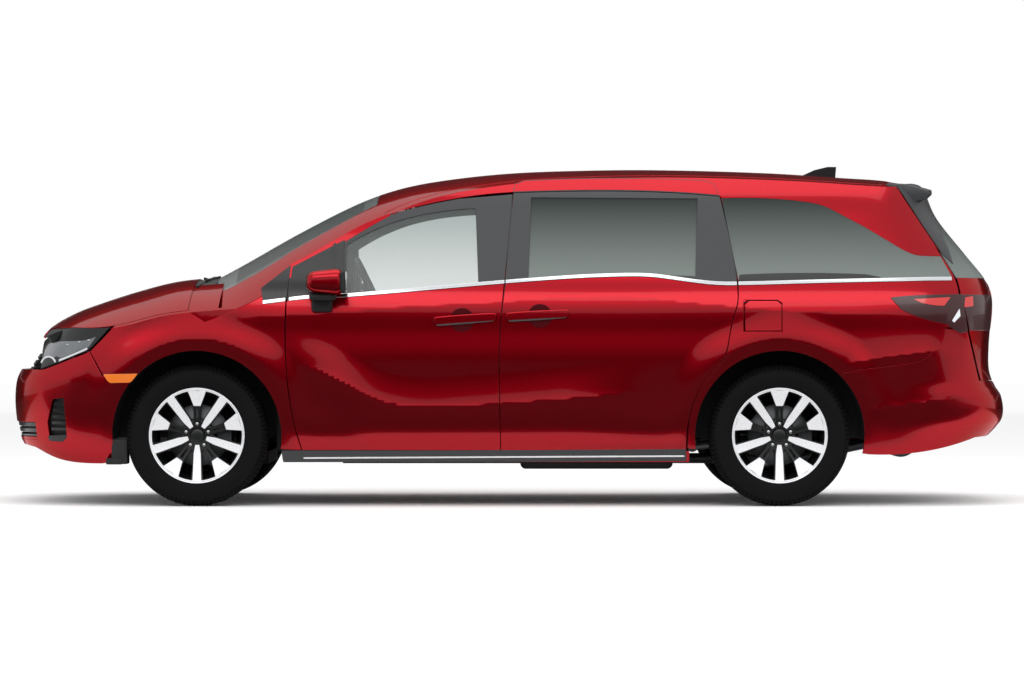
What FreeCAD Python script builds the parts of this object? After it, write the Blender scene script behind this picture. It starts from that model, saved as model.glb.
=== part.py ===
import FreeCAD, Part
import math
import os
import Sketcher
from FreeCAD import Vector, Placement, Rotation

# Minivan. Front faces -X, left side faces -Y, the wheels stand on Z = 0, millimetres.

doc = FreeCAD.newDocument("minivan")
sheet = doc.addObject("Spreadsheet::Sheet", "Sizes")

SIZES = {
    # Overall
    "body_length": 5212,
    "body_width": 1994,
    "roof_height": 1764,
    "wheelbase": 3000,
    "front_overhang": 1001,
    "front_track": 1710,
    "rear_track": 1709,
    # Body surface
    "nose_corner": 3.6,
    "tail_corner": 4.2,
    "corner_start": 1500,
    "hood_edge_span": 960,
    "hood_edge_power": 2.2,
    "roof_crown": 62,
    "roof_crown_span": 700,
    "screen_sweep": 150,
    "screen_sweep_span": 750,
    # Walls and gaps
    "skin_wall": 24,
    "pillar_wall": 70,
    "door_wall": 110,
    "frame_wall": 46,
    "glass_inset": 7,
    "glass_wall": 5,
    "roof_wall": 28,
    "hood_wall": 26,
    "shut_gap": 6,
    "door_front_gap": 8,
    "hinge_set_back": 65,
    "hinge_depth": 18,
    "hinge_pin": 5,
    "gate_gap": 10,
    "fuel_gap": 9,
    "seat_gap": 0.3,
    "curved_seat": 0.8,
    # Wheels
    "tyre_radius": 364,
    "tyre_width": 235,
    "rim_radius": 248,
    "rim_width": 205,
    "rim_inner": 212,
    "hub_radius": 78,
    "hub_bore": 32,
    "disc_radius": 160,
    "disc_wall": 26,
    "hub_back": 45,
    "window_inner": 84,
    "window_outer": 214,
    "window_inner_start": 14,
    "window_inner_end": 24,
    "window_outer_start": 7,
    "window_outer_end": 22,
    "arch_radius": 438,
    # Floor and cabin
    "floor_height": 330,
    "sill_height": 290,
    "sill_low": 227,
}
for row, (alias, value) in enumerate(SIZES.items(), start=1):
    sheet.set("A%d" % row, alias)
    sheet.set("B%d" % row, str(value))
    sheet.setAlias("B%d" % row, alias)
doc.recompute()


def size(alias):
    return float(getattr(sheet, alias))


NOSE = -size("body_length") / 2
TAIL = size("body_length") / 2
HALF = size("body_width") / 2
ROOF = size("roof_height")
GAP = size("shut_gap")
SEAT = size("seat_gap")
FRONT_AXLE = NOSE + size("front_overhang")
REAR_AXLE = FRONT_AXLE + size("wheelbase")
HUB = size("tyre_radius")


def stations(pairs, value):
    """Smooth curve through (position, value) pairs, straight past its ends."""
    if value <= pairs[0][0]:
        a, b = pairs[0], pairs[1]
        return a[1] + (value - a[0]) * (b[1] - a[1]) / (b[0] - a[0])
    if value >= pairs[-1][0]:
        a, b = pairs[-2], pairs[-1]
        return b[1] + (value - b[0]) * (b[1] - a[1]) / (b[0] - a[0])
    i = max(k for k in range(len(pairs) - 1) if pairs[k][0] <= value)

    def slope(k):
        low, high = max(k - 1, 0), min(k + 1, len(pairs) - 1)
        return (pairs[high][1] - pairs[low][1]) / (pairs[high][0] - pairs[low][0])

    a, b = pairs[i], pairs[i + 1]
    span = b[0] - a[0]
    u = (value - a[0]) / span
    return ((2 * u**3 - 3 * u**2 + 1) * a[1] + (u**3 - 2 * u**2 + u) * span * slope(i)
            + (3 * u**2 - 2 * u**3) * b[1] + (u**3 - u**2) * span * slope(i + 1))


# Centre-line profiles: x of the nose and tail at a height, height of the hood and roof at an x
NOSE_LINE = [(180, NOSE + 170), (300, NOSE + 46), (420, NOSE + 2), (640, NOSE), (760, NOSE + 66),
             (884, NOSE + 153), (1100, NOSE + 290), (1800, NOSE + 640)]
TAIL_LINE = [(180, TAIL - 200), (350, TAIL - 90), (440, TAIL - 4), (560, TAIL - 6), (640, TAIL - 54),
             (800, TAIL - 73), (1050, TAIL - 53), (1160, TAIL - 81), (1300, TAIL - 189),
             (1500, TAIL - 344), (1660, TAIL - 412), (1800, TAIL - 500)]
HOOD_LINE = [(NOSE - 60, 770), (NOSE + 153, 884), (NOSE + 195, 937), (NOSE + 302, 1001),
             (NOSE + 410, 1044), (NOSE + 625, 1114), (NOSE + 840, 1168), (NOSE + 1054, 1189),
             (NOSE + 1250, 1200)]
HOOD_FALL = [(NOSE, 90), (NOSE + 153, 100), (NOSE + 348, 150), (NOSE + 559, 183), (NOSE + 846, 176),
             (NOSE + 1250, 170)]
ROOF_LINE = [(NOSE + 700, 1040), (NOSE + 1000, 1160), (NOSE + 1162, 1243), (NOSE + 1484, 1425),
             (NOSE + 1806, 1587), (NOSE + 2021, ROOF - 102), (NOSE + 2236, ROOF - 59),
             (NOSE + 2559, ROOF - 22), (NOSE + 2881, ROOF - 6), (NOSE + 3350, ROOF),
             (NOSE + 3955, ROOF - 16), (NOSE + 4385, ROOF - 43), (NOSE + 4600, ROOF - 59),
             (NOSE + 4815, ROOF - 102)]
# Half width of the body at a height, halfway along it
SECTION = [(180, HALF - 101), (300, HALF - 57), (450, HALF - 22), (600, HALF - 7), (760, HALF),
           (900, HALF - 5), (1010, HALF - 9), (1090, HALF - 24), (1165, HALF - 52), (1300, HALF - 98),
           (1450, HALF - 150), (1600, HALF - 214), (1700, HALF - 292), (1800, HALF - 400)]

ROWS = [180, 240, 320, 420, 540, 660, 780, 900, 1000, 1080, 1160, 1260, 1380, 1500, 1620, 1720, 1800]
CORNER_STEPS = 10
MIDDLE_STEPS = 8


def even_turn(share, squareness):
    """Angle round a squared corner that spaces its points evenly."""
    a = share**(squareness / 2)
    b = (1 - share)**(squareness / 2)
    return math.pi / 2 * a / (a + b)


def wrap_face(inset):
    """Left side of the body from the nose round to the tail, moved in by inset."""
    front = -size("corner_start")
    rear = size("corner_start")
    grid = []
    for z in ROWS:
        half = stations(SECTION, z) - inset
        nose = front - stations(NOSE_LINE, z) - inset
        tail = stations(TAIL_LINE, z) - rear - inset
        line = []
        for k in range(CORNER_STEPS + 1):
            turn = even_turn(k / CORNER_STEPS, size("nose_corner"))
            power = 2 / size("nose_corner")
            line.append((front - nose * math.cos(turn)**power, half * math.sin(turn)**power))
        for k in range(1, MIDDLE_STEPS):
            line.append((front + (rear - front) * k / MIDDLE_STEPS, half))
        for k in range(CORNER_STEPS):
            turn = even_turn(k / CORNER_STEPS, size("tail_corner"))
            power = 2 / size("tail_corner")
            line.append((rear + tail * math.sin(turn)**power, half * math.cos(turn)**power))
        line.append((rear + tail, 0))
        grid.append([Vector(x, -y, z) for x, y in line])
    surface = Part.BSplineSurface()
    surface.interpolate(grid)
    return surface.toShape()


def mirrored(shape):
    return shape.mirror(Vector(0, 0, 0), Vector(0, 1, 0))


half_cache = {}


def left_half(inset):
    """Left half of the body's bulk, from the side surface to the middle plane."""
    if inset not in half_cache:
        bulk = wrap_face(inset).extrude(Vector(0, 2 * HALF, 0))
        room = Part.makeBox(2 * TAIL + 400, 2 * HALF, ROWS[-1] - ROWS[0] - 2,
                            Vector(NOSE - 200, -2 * HALF, ROWS[0] + 1))
        half_cache[inset] = bulk.common(room)
    return half_cache[inset]


def side_wall(outer, inner):
    """Left wall between two insets from the body's surface."""
    return left_half(outer).cut(left_half(inner))


def height_face(line, low, high, drop, crown):
    """Surface whose height is crown(x, y) above the floor, lowered by drop."""
    grid = []
    steps = 22
    spans = [-1050, -980, -900, -780, -640, -480, -300, -120, 0, 120, 300, 480, 640, 780, 900, 980, 1050]
    for y in spans:
        grid.append([Vector(low + (high - low) * k / steps, y,
                            crown(line, low + (high - low) * k / steps, y) - drop)
                     for k in range(steps + 1)])
    surface = Part.BSplineSurface()
    surface.interpolate(grid)
    return surface.toShape()


def hood_crown(line, x, y):
    fall = stations(HOOD_FALL, x) * (abs(y) / size("hood_edge_span"))**size("hood_edge_power")
    return stations(line, x) - fall


def roof_crown(line, x, y):
    sweep = size("screen_sweep") * (y / size("screen_sweep_span"))**2
    return stations(line, x - sweep) - size("roof_crown") * (y / size("roof_crown_span"))**2


def hood_bulk(drop):
    """Everything below the hood's surface, lowered by drop."""
    face = height_face(HOOD_LINE, NOSE - 60, NOSE + 1250, drop, hood_crown)
    return face.extrude(Vector(0, 0, -1800))


def roof_bulk(drop):
    """Everything below the windscreen and roof, lowered by drop."""
    face = height_face(ROOF_LINE, NOSE + 900, NOSE + 5150, drop, roof_crown)
    return face.extrude(Vector(0, 0, -2400))


def outline_wire(runs):
    """Closed wire in the side view. Each run is a line or a smooth curve through (x, z) points."""
    edges = []
    ends = [(run[0], run[-1]) for run in runs]
    for i, run in enumerate(runs):
        points = [Vector(x, 0, z) for x, z in run]
        if len(points) == 2:
            edges.append(Part.makeLine(points[0], points[1]))
        elif len(points) > 2:
            curve = Part.BSplineCurve()
            curve.interpolate(points)
            edges.append(curve.toShape())
        after = ends[(i + 1) % len(ends)][0]
        start, stop = points[-1], Vector(after[0], 0, after[1])
        if (stop - start).Length > 0.01:
            edges.append(Part.makeLine(start, stop))
    return Part.Wire(edges)


def side_prism(runs, near=-1300, far=-20):
    """Solid of a side-view outline, across the left side of the vehicle."""
    face = Part.Face(outline_wire(runs))
    if not face.isValid():
        raise RuntimeError("outline crosses itself at " + str(runs[0][0]))
    face.translate(Vector(0, near, 0))
    return face.extrude(Vector(0, far - near, 0))


def block(x1, x2, y1, y2, z1, z2):
    return Part.makeBox(x2 - x1, y2 - y1, z2 - z1, Vector(x1, y1, z1))


def bar(x, z, radius, near, far):
    """Round bar across the vehicle."""
    return Part.makeCylinder(radius, far - near, Vector(x, near, z), Vector(0, 1, 0))


def tube(start, stop, radius):
    start, stop = Vector(*start), Vector(*stop)
    return Part.makeCylinder(radius, (stop - start).Length, start, stop - start)


def fused(shapes):
    result = shapes[0].multiFuse(shapes[1:])
    return result.removeSplitter()


NODES = []


def node(label, shape, place=Placement()):
    """Document object for one sub-part."""
    feature = doc.addObject("Part::Feature", label)
    feature.Label = label
    feature.Shape = shape
    feature.Placement = place
    NODES.append(feature)
    return feature


def both(shape):
    """A left piece with its mirror image."""
    return Part.makeCompound([shape, mirrored(shape)])


def shifted(points, dx, dz=0):
    return [(x + dx, z + dz) for x, z in points]


def back(points):
    return list(reversed(points))


# Side-view lines, from the front to the rear of the vehicle
SILL = size("sill_height")
DOOR_FRONT = [(-1119, 1247), (-1127, 1170), (-1140, 1048), (-1141, 745), (-1120, 534), (-1089, 387),
              (-1062, SILL)]
DOOR_REAR = [(26, 1623), (-17, 1160), (-38, 955), (-45, 744), (-43, 534), (-38, SILL)]
SLIDER_REAR = [(1093, 1604), (1140, 1380), (1176, 1162), (1176, 1087), (1168, 1023), (1149, 959),
               (1128, 856), (1106, 770), (1066, 711), (994, 626), (948, 542), (922, 449), (912, SILL)]
RAIL_FRONT = [(-1119, 1247), (-904, 1367), (-689, 1480), (-466, 1549), (-258, 1592), (26, 1623)]
RAIL_REAR = [(26, 1623), (500, 1632), (780, 1626), (1093, 1604)]
FRONT_GLASS_TOP = [(-838, 1345), (-689, 1428), (-518, 1489), (-346, 1523), (-170, 1538)]
FRONT_GLASS_LOW = [(-155, 1150), (-500, 1118), (-838, 1088)]
SLIDER_GLASS = [[(115, 1596), (980, 1590)], [(963, 1182), (500, 1186), (99, 1160)]]
QUARTER_GLASS = [[(1110, 1588), (1353, 1588), (1518, 1573), (1641, 1545), (1722, 1503), (1826, 1447),
                  (1929, 1385), (2008, 1338), (2080, 1302), (2150, 1290)],
                 [(2232, 1286), (2280, 1185)], [(1700, 1165), (1190, 1155)]]
LAMP = [[(-2560, 845), (-2406, 850)], [(-2347, 883), (-2074, 912), (-2039, 914)],
        [(-2125, 832), (-2159, 802), (-2228, 773), (-2311, 742), (-2415, 706)], [(-2560, 706), (-2560, 800)]]
REAR_LAMP = [[(1962, 1072), (2150, 1086), (2320, 1092)],
             [(2360, 912), (2273, 930), (2190, 950), (2087, 979), (2015, 1012)]]
GATE_SIDE = [(2017, 1660), (2242, 1296), (2311, 1179), (2330, 1092), (2376, 902), (2443, 650)]
BUMPER_REAR_TOP = [(2251, 915), (2182, 806), (2161, 774), (2092, 743), (1844, 709), (1727, 688)]

ARCH = size("arch_radius")
SKIN = size("skin_wall")
PILLAR = size("pillar_wall")
WALL = size("door_wall")
FRAME = size("frame_wall")
LAYER = 14
MESH_SEAT = size("curved_seat")
SET_BACK = 28

top = hood_bulk(0).fuse(roof_bulk(0))
skin = side_wall(0, SKIN)
pillar = side_wall(0, PILLAR)
outer_layer = side_wall(0, LAYER)
frame_layer = side_wall(LAYER, FRAME)
deep_layer = side_wall(LAYER, WALL)
glass_layer = side_wall(size("glass_inset"), size("glass_inset") + size("glass_wall"))

# Front doors: an outer skin that laps the jambs, a deep shell below the belt and a thin window frame
door_full = [[(DOOR_FRONT[0][0], DOOR_FRONT[0][1] - GAP)] + DOOR_FRONT[1:],
             shifted(back(DOOR_REAR)[:-1], -GAP) + [(DOOR_REAR[0][0] - GAP, DOOR_REAR[0][1] - 2 * GAP)],
             shifted(back(RAIL_FRONT)[1:-1], 0, -GAP)]
door_shell = [shifted(DOOR_FRONT[2:], 4), shifted(back(DOOR_REAR[1:]), -GAP - SET_BACK)]
door_upper = [[(-1115, 1236), (-1138, 1040)], [(DOOR_REAR[1][0] - GAP - SET_BACK, 1060)],
              [(DOOR_REAR[0][0] - GAP - SET_BACK, 1606)], shifted(back(RAIL_FRONT[1:-1]), 0, -GAP - LAYER)]
door_window = [FRONT_GLASS_TOP, FRONT_GLASS_LOW]
door_body = fused([
    outer_layer.common(side_prism(door_full)),
    deep_layer.common(side_prism(door_shell)),
    frame_layer.common(side_prism(door_upper))])
door_body = door_body.cut(side_prism(door_window))
handle = side_wall(-22, -6).common(side_prism([[(-377, 965), (-75, 985)], [(-75, 963), (-377, 943)]]))
handle_posts = side_wall(-8, 2).common(side_prism([[(-372, 963), (-345, 964)],
    [(-345, 946), (-372, 945)]]).fuse(
    side_prism([[(-107, 981), (-80, 982)], [(-80, 964), (-107, 963)]])))
door_body = fused([door_body, handle, handle_posts])

# Hinges: a pin across a pocket in the door's front edge, and a leaf from the front post round it
HINGE_X = DOOR_FRONT[3][0] + size("hinge_set_back")
HINGE_Y = -HALF + size("hinge_depth")
HINGE_TALL = 46
leaves = []
for z in (640, 800):
    pocket = block(DOOR_FRONT[3][0] - 20, HINGE_X + 18, HINGE_Y - 13, -HALF + WALL + 20, z, z + HINGE_TALL)
    pocket = pocket.common(side_wall(3, WALL + 10))
    door_body = door_body.cut(pocket)
    door_body = door_body.fuse(Part.makeCylinder(size("hinge_pin"), HINGE_TALL + 8,
        Vector(HINGE_X, HINGE_Y, z - 4)))
    low, tall = z + 6, HINGE_TALL - 12
    leaf = Part.makeBox(12, 190, tall, Vector(-6, 0, low))
    leaf.rotate(Vector(0, 0, 0), Vector(0, 0, 1), 20)
    leaf.translate(Vector(HINGE_X, HINGE_Y, 0))
    leaf = leaf.fuse(Part.makeCylinder(10, tall, Vector(HINGE_X, HINGE_Y, low)))
    leaves.append(leaf.cut(Part.makeCylinder(size("hinge_pin") + SEAT, 100,
        Vector(HINGE_X, HINGE_Y, z - 20))))
door_body = door_body.removeSplitter()
door_glass = glass_layer.common(side_prism(door_window))
for label, place in (("L", lambda shape: shape), ("R", mirrored)):
    node("front_door_" + label, place(door_body))
    node("door_glass_" + label, place(door_glass))

# Sliding doors, closed
slider_full = [shifted(RAIL_REAR, 0, -GAP), [(1094, 1590)] + SLIDER_REAR[1:],
               back(DOOR_REAR)[:-1] + [(DOOR_REAR[0][0], DOOR_REAR[0][1] - 2 * GAP)]]
slider_shell = [[(-2, 1100), (1140, 1100)], [(1126, 1020), (1080, 770), (960, 626), (900, 449), (880, 320)],
                [(-14, 320), (-14, 1000)]]
slider_window = SLIDER_GLASS
slider_body = fused([
    outer_layer.common(side_prism(slider_full)),
    side_wall(LAYER, FRAME + GAP - MESH_SEAT).common(side_prism([[(50, 1600), (1070, 1580)],
        [(1140, 1090), (0, 1090)]])),
    deep_layer.common(side_prism(slider_shell))])
slider_body = slider_body.cut(side_prism(slider_window))
node("sliding_doors", both(slider_body))
slider_glass = glass_layer.common(side_prism(slider_window))

# Body sides: front post, cant rail, quarter panel and sill as one panel
arch_cut = bar(REAR_AXLE, HUB, ARCH, -1300, -20)
quarter_outline = [
    shifted(SLIDER_REAR[:3], GAP, -4),
    [(SLIDER_REAR[3][0] + GAP, 1087), (SLIDER_REAR[4][0] + GAP, SLIDER_REAR[4][1]),
     (SLIDER_REAR[5][0] + GAP, 959), (1114, 770), (1074, 711), (1002, 626),
     (956, 542), (930, 449), (922, 300)],
    [(1500, 300), (1700, 684)],
    shifted(back(BUMPER_REAR_TOP), 0, GAP),
    [(2251, 950), (2318, 1000)],
    shifted(back(GATE_SIDE[:4]), -GAP),
    [(2010, 1720), (1100, 1740)]]
quarter = pillar.common(side_prism(quarter_outline)).common(top)
quarter = quarter.cut(side_prism(QUARTER_GLASS)).cut(side_prism(REAR_LAMP)).cut(arch_cut)
rail_outline = [
    [(-1560, 1075), (-1400, 1100), (-1286, 1160), (-1130, 1244)],
    RAIL_FRONT,
    RAIL_REAR,
    [(1110, 1610), (1110, 1800)],
    [(-1300, 1800), (-1700, 1300)]]
rail = pillar.common(side_prism(rail_outline)).common(roof_bulk(0))
jamb = side_wall(FRAME + GAP, WALL).common(side_prism([[(-30, 1180), (0, 1660)], [(70, 1660), (40, 1180)]]))
jamb = jamb.common(roof_bulk(size("roof_wall") + MESH_SEAT))
post = side_wall(WALL + GAP, WALL + 40).common(side_prism([[(-40, 260), (-40, 1210)],
    [(40, 1210), (40, 260)]]))
post_head = side_wall(FRAME + GAP, WALL + 40).common(side_prism([[(-30, 1180), (-30, 1210)],
    [(40, 1210), (40, 1180)]]))
front_post = side_wall(WALL + 32, WALL + 70).common(side_prism(
    [[(-1150, 235), (-1150, 1010)], [(-1060, 1010), (-1060, 235)]]))
SILL_LOW = size("sill_low")
SILL_TOP = SILL - GAP - SEAT
sill = side_wall(8, WALL + 70).common(side_prism([[(-1090, SILL_LOW), (-1090, SILL_TOP)],
                                                  [(930, SILL_TOP), (930, SILL_LOW)]]))
leaves = [leaf.common(left_half(3)) for leaf in leaves]
side_body = fused([quarter, rail, jamb, post, post_head, sill, front_post] + leaves)
fuel_outline = [[(1214, 902), (1214, 1040)], [(1236, 1057), (1380, 1057)], [(1402, 1040), (1402, 902)]]
FUEL_FRONT = 1214 - size("fuel_gap")
fuel_gap = [[(FUEL_FRONT, 896), (FUEL_FRONT, 1046)], [(1232, 1063), (1384, 1063)],
    [(1408, 1046), (1408, 896)]]
FUEL_DEEP = 54
side_left = side_body.cut(side_wall(-10, FUEL_DEEP).common(side_prism(fuel_gap)))
FUEL_X = 1238
FUEL_Y = -HALF + 21
FUEL_EYE_LOW = 900
FUEL_EYE_TALL = 25
FUEL_PIN = 3
fuel_pin = Part.makeCylinder(FUEL_PIN, 70, Vector(FUEL_X, FUEL_Y, FUEL_EYE_LOW + 5))
fuel_eyes = []
for z in (FUEL_EYE_LOW, FUEL_EYE_LOW + 55):
    eye = Part.makeCylinder(FUEL_PIN + 2, FUEL_EYE_TALL, Vector(FUEL_X, FUEL_Y, z))
    eye = eye.fuse(block(FUEL_X - 2, FUEL_X + 8, FUEL_Y, -HALF + 69, z, z + FUEL_EYE_TALL))
    fuel_eyes.append(eye.cut(Part.makeCylinder(FUEL_PIN + SEAT, 100, Vector(FUEL_X, FUEL_Y, FUEL_EYE_LOW - 10))))
side_left = fused([side_left] + fuel_eyes)
fuel_web = block(FUEL_X - FUEL_PIN, FUEL_X + 6, -HALF + 5, FUEL_Y, FUEL_EYE_LOW + FUEL_EYE_TALL + 1,
                 FUEL_EYE_LOW + 54).common(left_half(3))
fuel_door = fused([side_wall(0, 6).common(side_prism(fuel_outline)), fuel_web, fuel_pin])
node("side_frame_L", side_left)
node("side_frame_R", mirrored(side_body))
node("fuel_door", fuel_door)
quarter_glass = glass_layer.common(side_prism(QUARTER_GLASS))
node("side_glass", Part.makeCompound([slider_glass, quarter_glass, mirrored(slider_glass),
    mirrored(quarter_glass)]))
node("tail_lamps", both(side_wall(0, 55).common(side_prism(REAR_LAMP))))

# Front fenders
front_arch = bar(FRONT_AXLE, HUB, ARCH, -1300, -20)
fender_outline = [
    [(-2030, 925), (-2128, 822)], [(-2154, 796), (-2086, 678)], [(-1900, 670), (-1500, 320)],
    [(-1070, 300), (-1068, SILL + 4)],
    shifted(back(DOOR_FRONT[:-1]), -size("door_front_gap")),
    [(-1150, 1235), (-1286, 1154), (-1400, 1094), (-1560, 1069)],
    [(-1700, 1200), (-2039, 1150)]]
fender = skin.common(side_prism(fender_outline)).common(top).cut(front_arch)
node("fenders", both(fender))

# Front bumper, lamps and grille
bumper_outline = [
    [(-2700, 700), (-2440, 700)], [(-2415, 700), (-2311, 736), (-2228, 767), (-2159, 796)],
    [(-2092, 672), (-1860, 664)], [(-1700, 260), (-1980, 226)], [(-2480, 300), (-2700, 340)]]
lower_mouth = block(NOSE - 50, NOSE + 330, -758, 0, 352, 430)
side_intake = side_prism([[(-2355, 553), (-2296, 560)], [(-2285, 434), (-2282, 355)],
    [(-2305, 328), (-2378, 332)],
                          [(-2388, 434), (-2361, 540)]], far=-700)
intake_back = side_wall(SKIN + SEAT, 44).common(side_prism(
    [[(-2375, 570), (-2280, 575)], [(-2265, 350)], [(-2290, 312), (-2378, 316)], [(-2396, 434)]], far=-700))
front_bumper = skin.common(side_prism(bumper_outline,
    far=0)).cut(front_arch).cut(lower_mouth).cut(side_intake)
front_bumper = fused([front_bumper, mirrored(front_bumper)])
node("front_bumper", front_bumper)
GRILLE_DEEP = 90
LAMP_DEEP = 60
grille_face = side_wall(50, GRILLE_DEEP).common(side_prism([[(-2700, 708), (-2450, 708)], [(-2380, 840), (-2380, 860)],
                                                   [(-2700, 860), (-2700, 850)]], far=0))
grille_face = grille_face.common(block(-2700, -2300, -560, 0, 300, 900))
lower_grille = side_wall(SKIN + SEAT, 60).common(block(NOSE - 50, NOSE + 330, -770, 0, 340, 442))
node("front_grille", Part.makeCompound([fused([grille_face, mirrored(grille_face)]),
                                        fused([lower_grille, mirrored(lower_grille)]),
                                        intake_back, mirrored(intake_back)]))
lamp = side_wall(0, LAMP_DEEP).common(side_prism(LAMP, far=0)).common(hood_bulk(30))
lamp = lamp.cut(block(-2700, -2200, -566, 10, 300, 1000))
node("headlamps", both(lamp))

# Hood, windscreen and roof between the side walls
between_fenders = left_half(SKIN + GAP)
between_fenders = between_fenders.fuse(mirrored(between_fenders))
between_rails = left_half(PILLAR + MESH_SEAT)
between_rails = between_rails.fuse(mirrored(between_rails))
hood_shell = hood_bulk(0).cut(hood_bulk(size("hood_wall")))
HOOD_REAR = -1650
hood = hood_shell.common(between_fenders).common(block(NOSE + 170, HOOD_REAR, -1100, 1100, 600, 1300))
HOOD_AXIS = (-1540, 1056)
arms = []
for s in (-1, 1):
    lift = Part.Face(Part.makePolygon([Vector(x, 0, z) for x, z in [
        (-1760, 1068), (-1700, 1058), (-1560, 1046), (-1540, 1042), (-1526, 1056), (-1540, 1070),
        (-1660, 1084), (-1660, 1110), (-1760, 1110), (-1760, 1068)]]))
    lift.translate(Vector(0, s * 610 - 5, 0))
    arms.append(lift.extrude(Vector(0, 10, 0)).common(hood_bulk(6)))
hood = fused([hood] + arms)
for s in (-1, 1):
    hood = hood.cut(bar(HOOD_AXIS[0], HOOD_AXIS[1], 6 + SEAT, *sorted((s * 590, s * 640))))
node("hood", hood)
screen_shell = roof_bulk(1).cut(roof_bulk(6))
SCREEN_TOP = -690
screen = screen_shell.common(between_rails).common(block(-1540, SCREEN_TOP, -1100, 1100, 900, 1800))
node("windscreen", screen)
roof_shell = roof_bulk(0).cut(roof_bulk(size("roof_wall")))
GATE_TOP = 2014
ROOF_REAR = GATE_TOP - size("gate_gap")
GATE_AXIS = (1994, 1688)
roof = roof_shell.common(between_rails).common(block(SCREEN_TOP + 3, ROOF_REAR, -1100, 1100, 1400, 1800))
for s in (-1, 1):
    roof = roof.cut(block(1976, 2020, *sorted((s * 130, s * 170)), 1640, 1720))
    roof = roof.fuse(bar(GATE_AXIS[0], GATE_AXIS[1], 5, *sorted((s * 125, s * 175))))
node("roof_panel", roof.removeSplitter())

# Tailgate with its window and spoiler
gate_outline = [shifted(GATE_SIDE, GAP), [(2449, 646), (2800, 646)], [(2800, 1720), (2014, 1720)]]
gate_wall = pillar.common(side_prism(gate_outline, far=0)).common(roof_bulk(0))
gate_top = roof_bulk(0).cut(roof_bulk(60)).common(left_half(0))
gate_top = gate_top.common(block(GATE_TOP, 2400, -1100, 0, 1500, 1760))
gate = fused([gate_wall, gate_top.common(side_prism(gate_outline, far=0))])
gate = fused([gate, mirrored(gate)])
for s in (-1, 1):
    arm = bar(GATE_AXIS[0], GATE_AXIS[1], 9, *sorted((s * 140, s * 160)))
    arm = arm.fuse(block(GATE_AXIS[0], 2060, *sorted((s * 140, s * 160)), GATE_AXIS[1] - 9, GATE_AXIS[1] + 1))
    gate = gate.fuse(arm.common(roof_bulk(0)))
    gate = gate.cut(bar(GATE_AXIS[0], GATE_AXIS[1], 5 + SEAT, *sorted((s * 130, s * 170))))
gate_window = block(2100, 2700, -640, 640, 1190, 1560)
spoiler_profile = Part.makePolygon([Vector(x, -640, z) for x, z in
                                    [(2120, 1600), (2120, 1672), (2241, 1640), (2241, 1622), (2120, 1600)]])
spoiler = Part.Face(spoiler_profile).extrude(Vector(0, 1280, 0))
spoiler_plan = Part.makePolygon([Vector(x, y, 1590) for x, y in
                                 [(2100, -640), (2178, -640), (2225, -320), (2241, 0), (2225, 320),
                                  (2178, 640), (2100, 640), (2100, -640)]])
spoiler = spoiler.common(Part.Face(spoiler_plan).extrude(Vector(0, 0, 100))).common(roof_bulk(0))
gate = gate.cut(gate_window)
gate_lamp_zone = block(2320, 2700, -1000, -560, 905, 1090)
gate_lamp = side_wall(0, 40).common(gate_lamp_zone).common(side_prism(gate_outline, far=0))
lamp_room = side_wall(-10, 40).common(gate_lamp_zone)
gate = gate.cut(lamp_room).cut(mirrored(lamp_room))
gate = fused([gate, spoiler])
node("tailgate", gate)
gate_glass = glass_layer.common(block(2100, 2700, -640, 0, 1190, 1560))
node("tailgate_glass", fused([gate_glass, mirrored(gate_glass)]))
node("tailgate_lamps", both(gate_lamp))

# Rear bumper
rear_bumper_outline = [shifted(back(GATE_SIDE[4:]), -GAP), BUMPER_REAR_TOP, [(1650, 640), (1600, 300)],
    [(1860, 266), (2200, 290), (2420, 350)],
                       [(2800, 380), (2800, 638)], [(2460, 638), (2440, 642)]]
rear_bumper = skin.common(side_prism(rear_bumper_outline, far=0)).cut(arch_cut)
node("rear_bumper", fused([rear_bumper, mirrored(rear_bumper)]))

# Sill mouldings
moulding = side_wall(2, 60).common(side_prism([[(-1060, 231), (-1060, 283)], [(905, 283), (905, 231)]]))
moulding = moulding.cut(sill)
node("sill_mouldings", both(moulding))

# Mirrors on the doors
mirror_shape = Part.makeBox(192, 190, 146, Vector(-1032, -1180, 1078))
mirror_shape = mirror_shape.makeFillet(34, mirror_shape.Edges)
stalk = Part.makeBox(60, 130, 34, Vector(-1010, -1060, 1046))
mirror_shape = mirror_shape.fuse(stalk).cut(left_half(-SEAT))
node("mirror_L", mirror_shape)
node("mirror_R", mirrored(mirror_shape))

# Antenna fin
fin = Part.Face(Part.makePolygon([Vector(x, -18, z) for x, z in
                                  [(1564, 1734), (1640, 1768), (1710, 1785), (1757, 1785), (1750, 1690),
                                   (1564, 1690), (1564, 1734)]]))
fin = fin.extrude(Vector(0, 36, 0)).cut(roof_bulk(-SEAT))
node("antenna_fin", fin)

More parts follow.
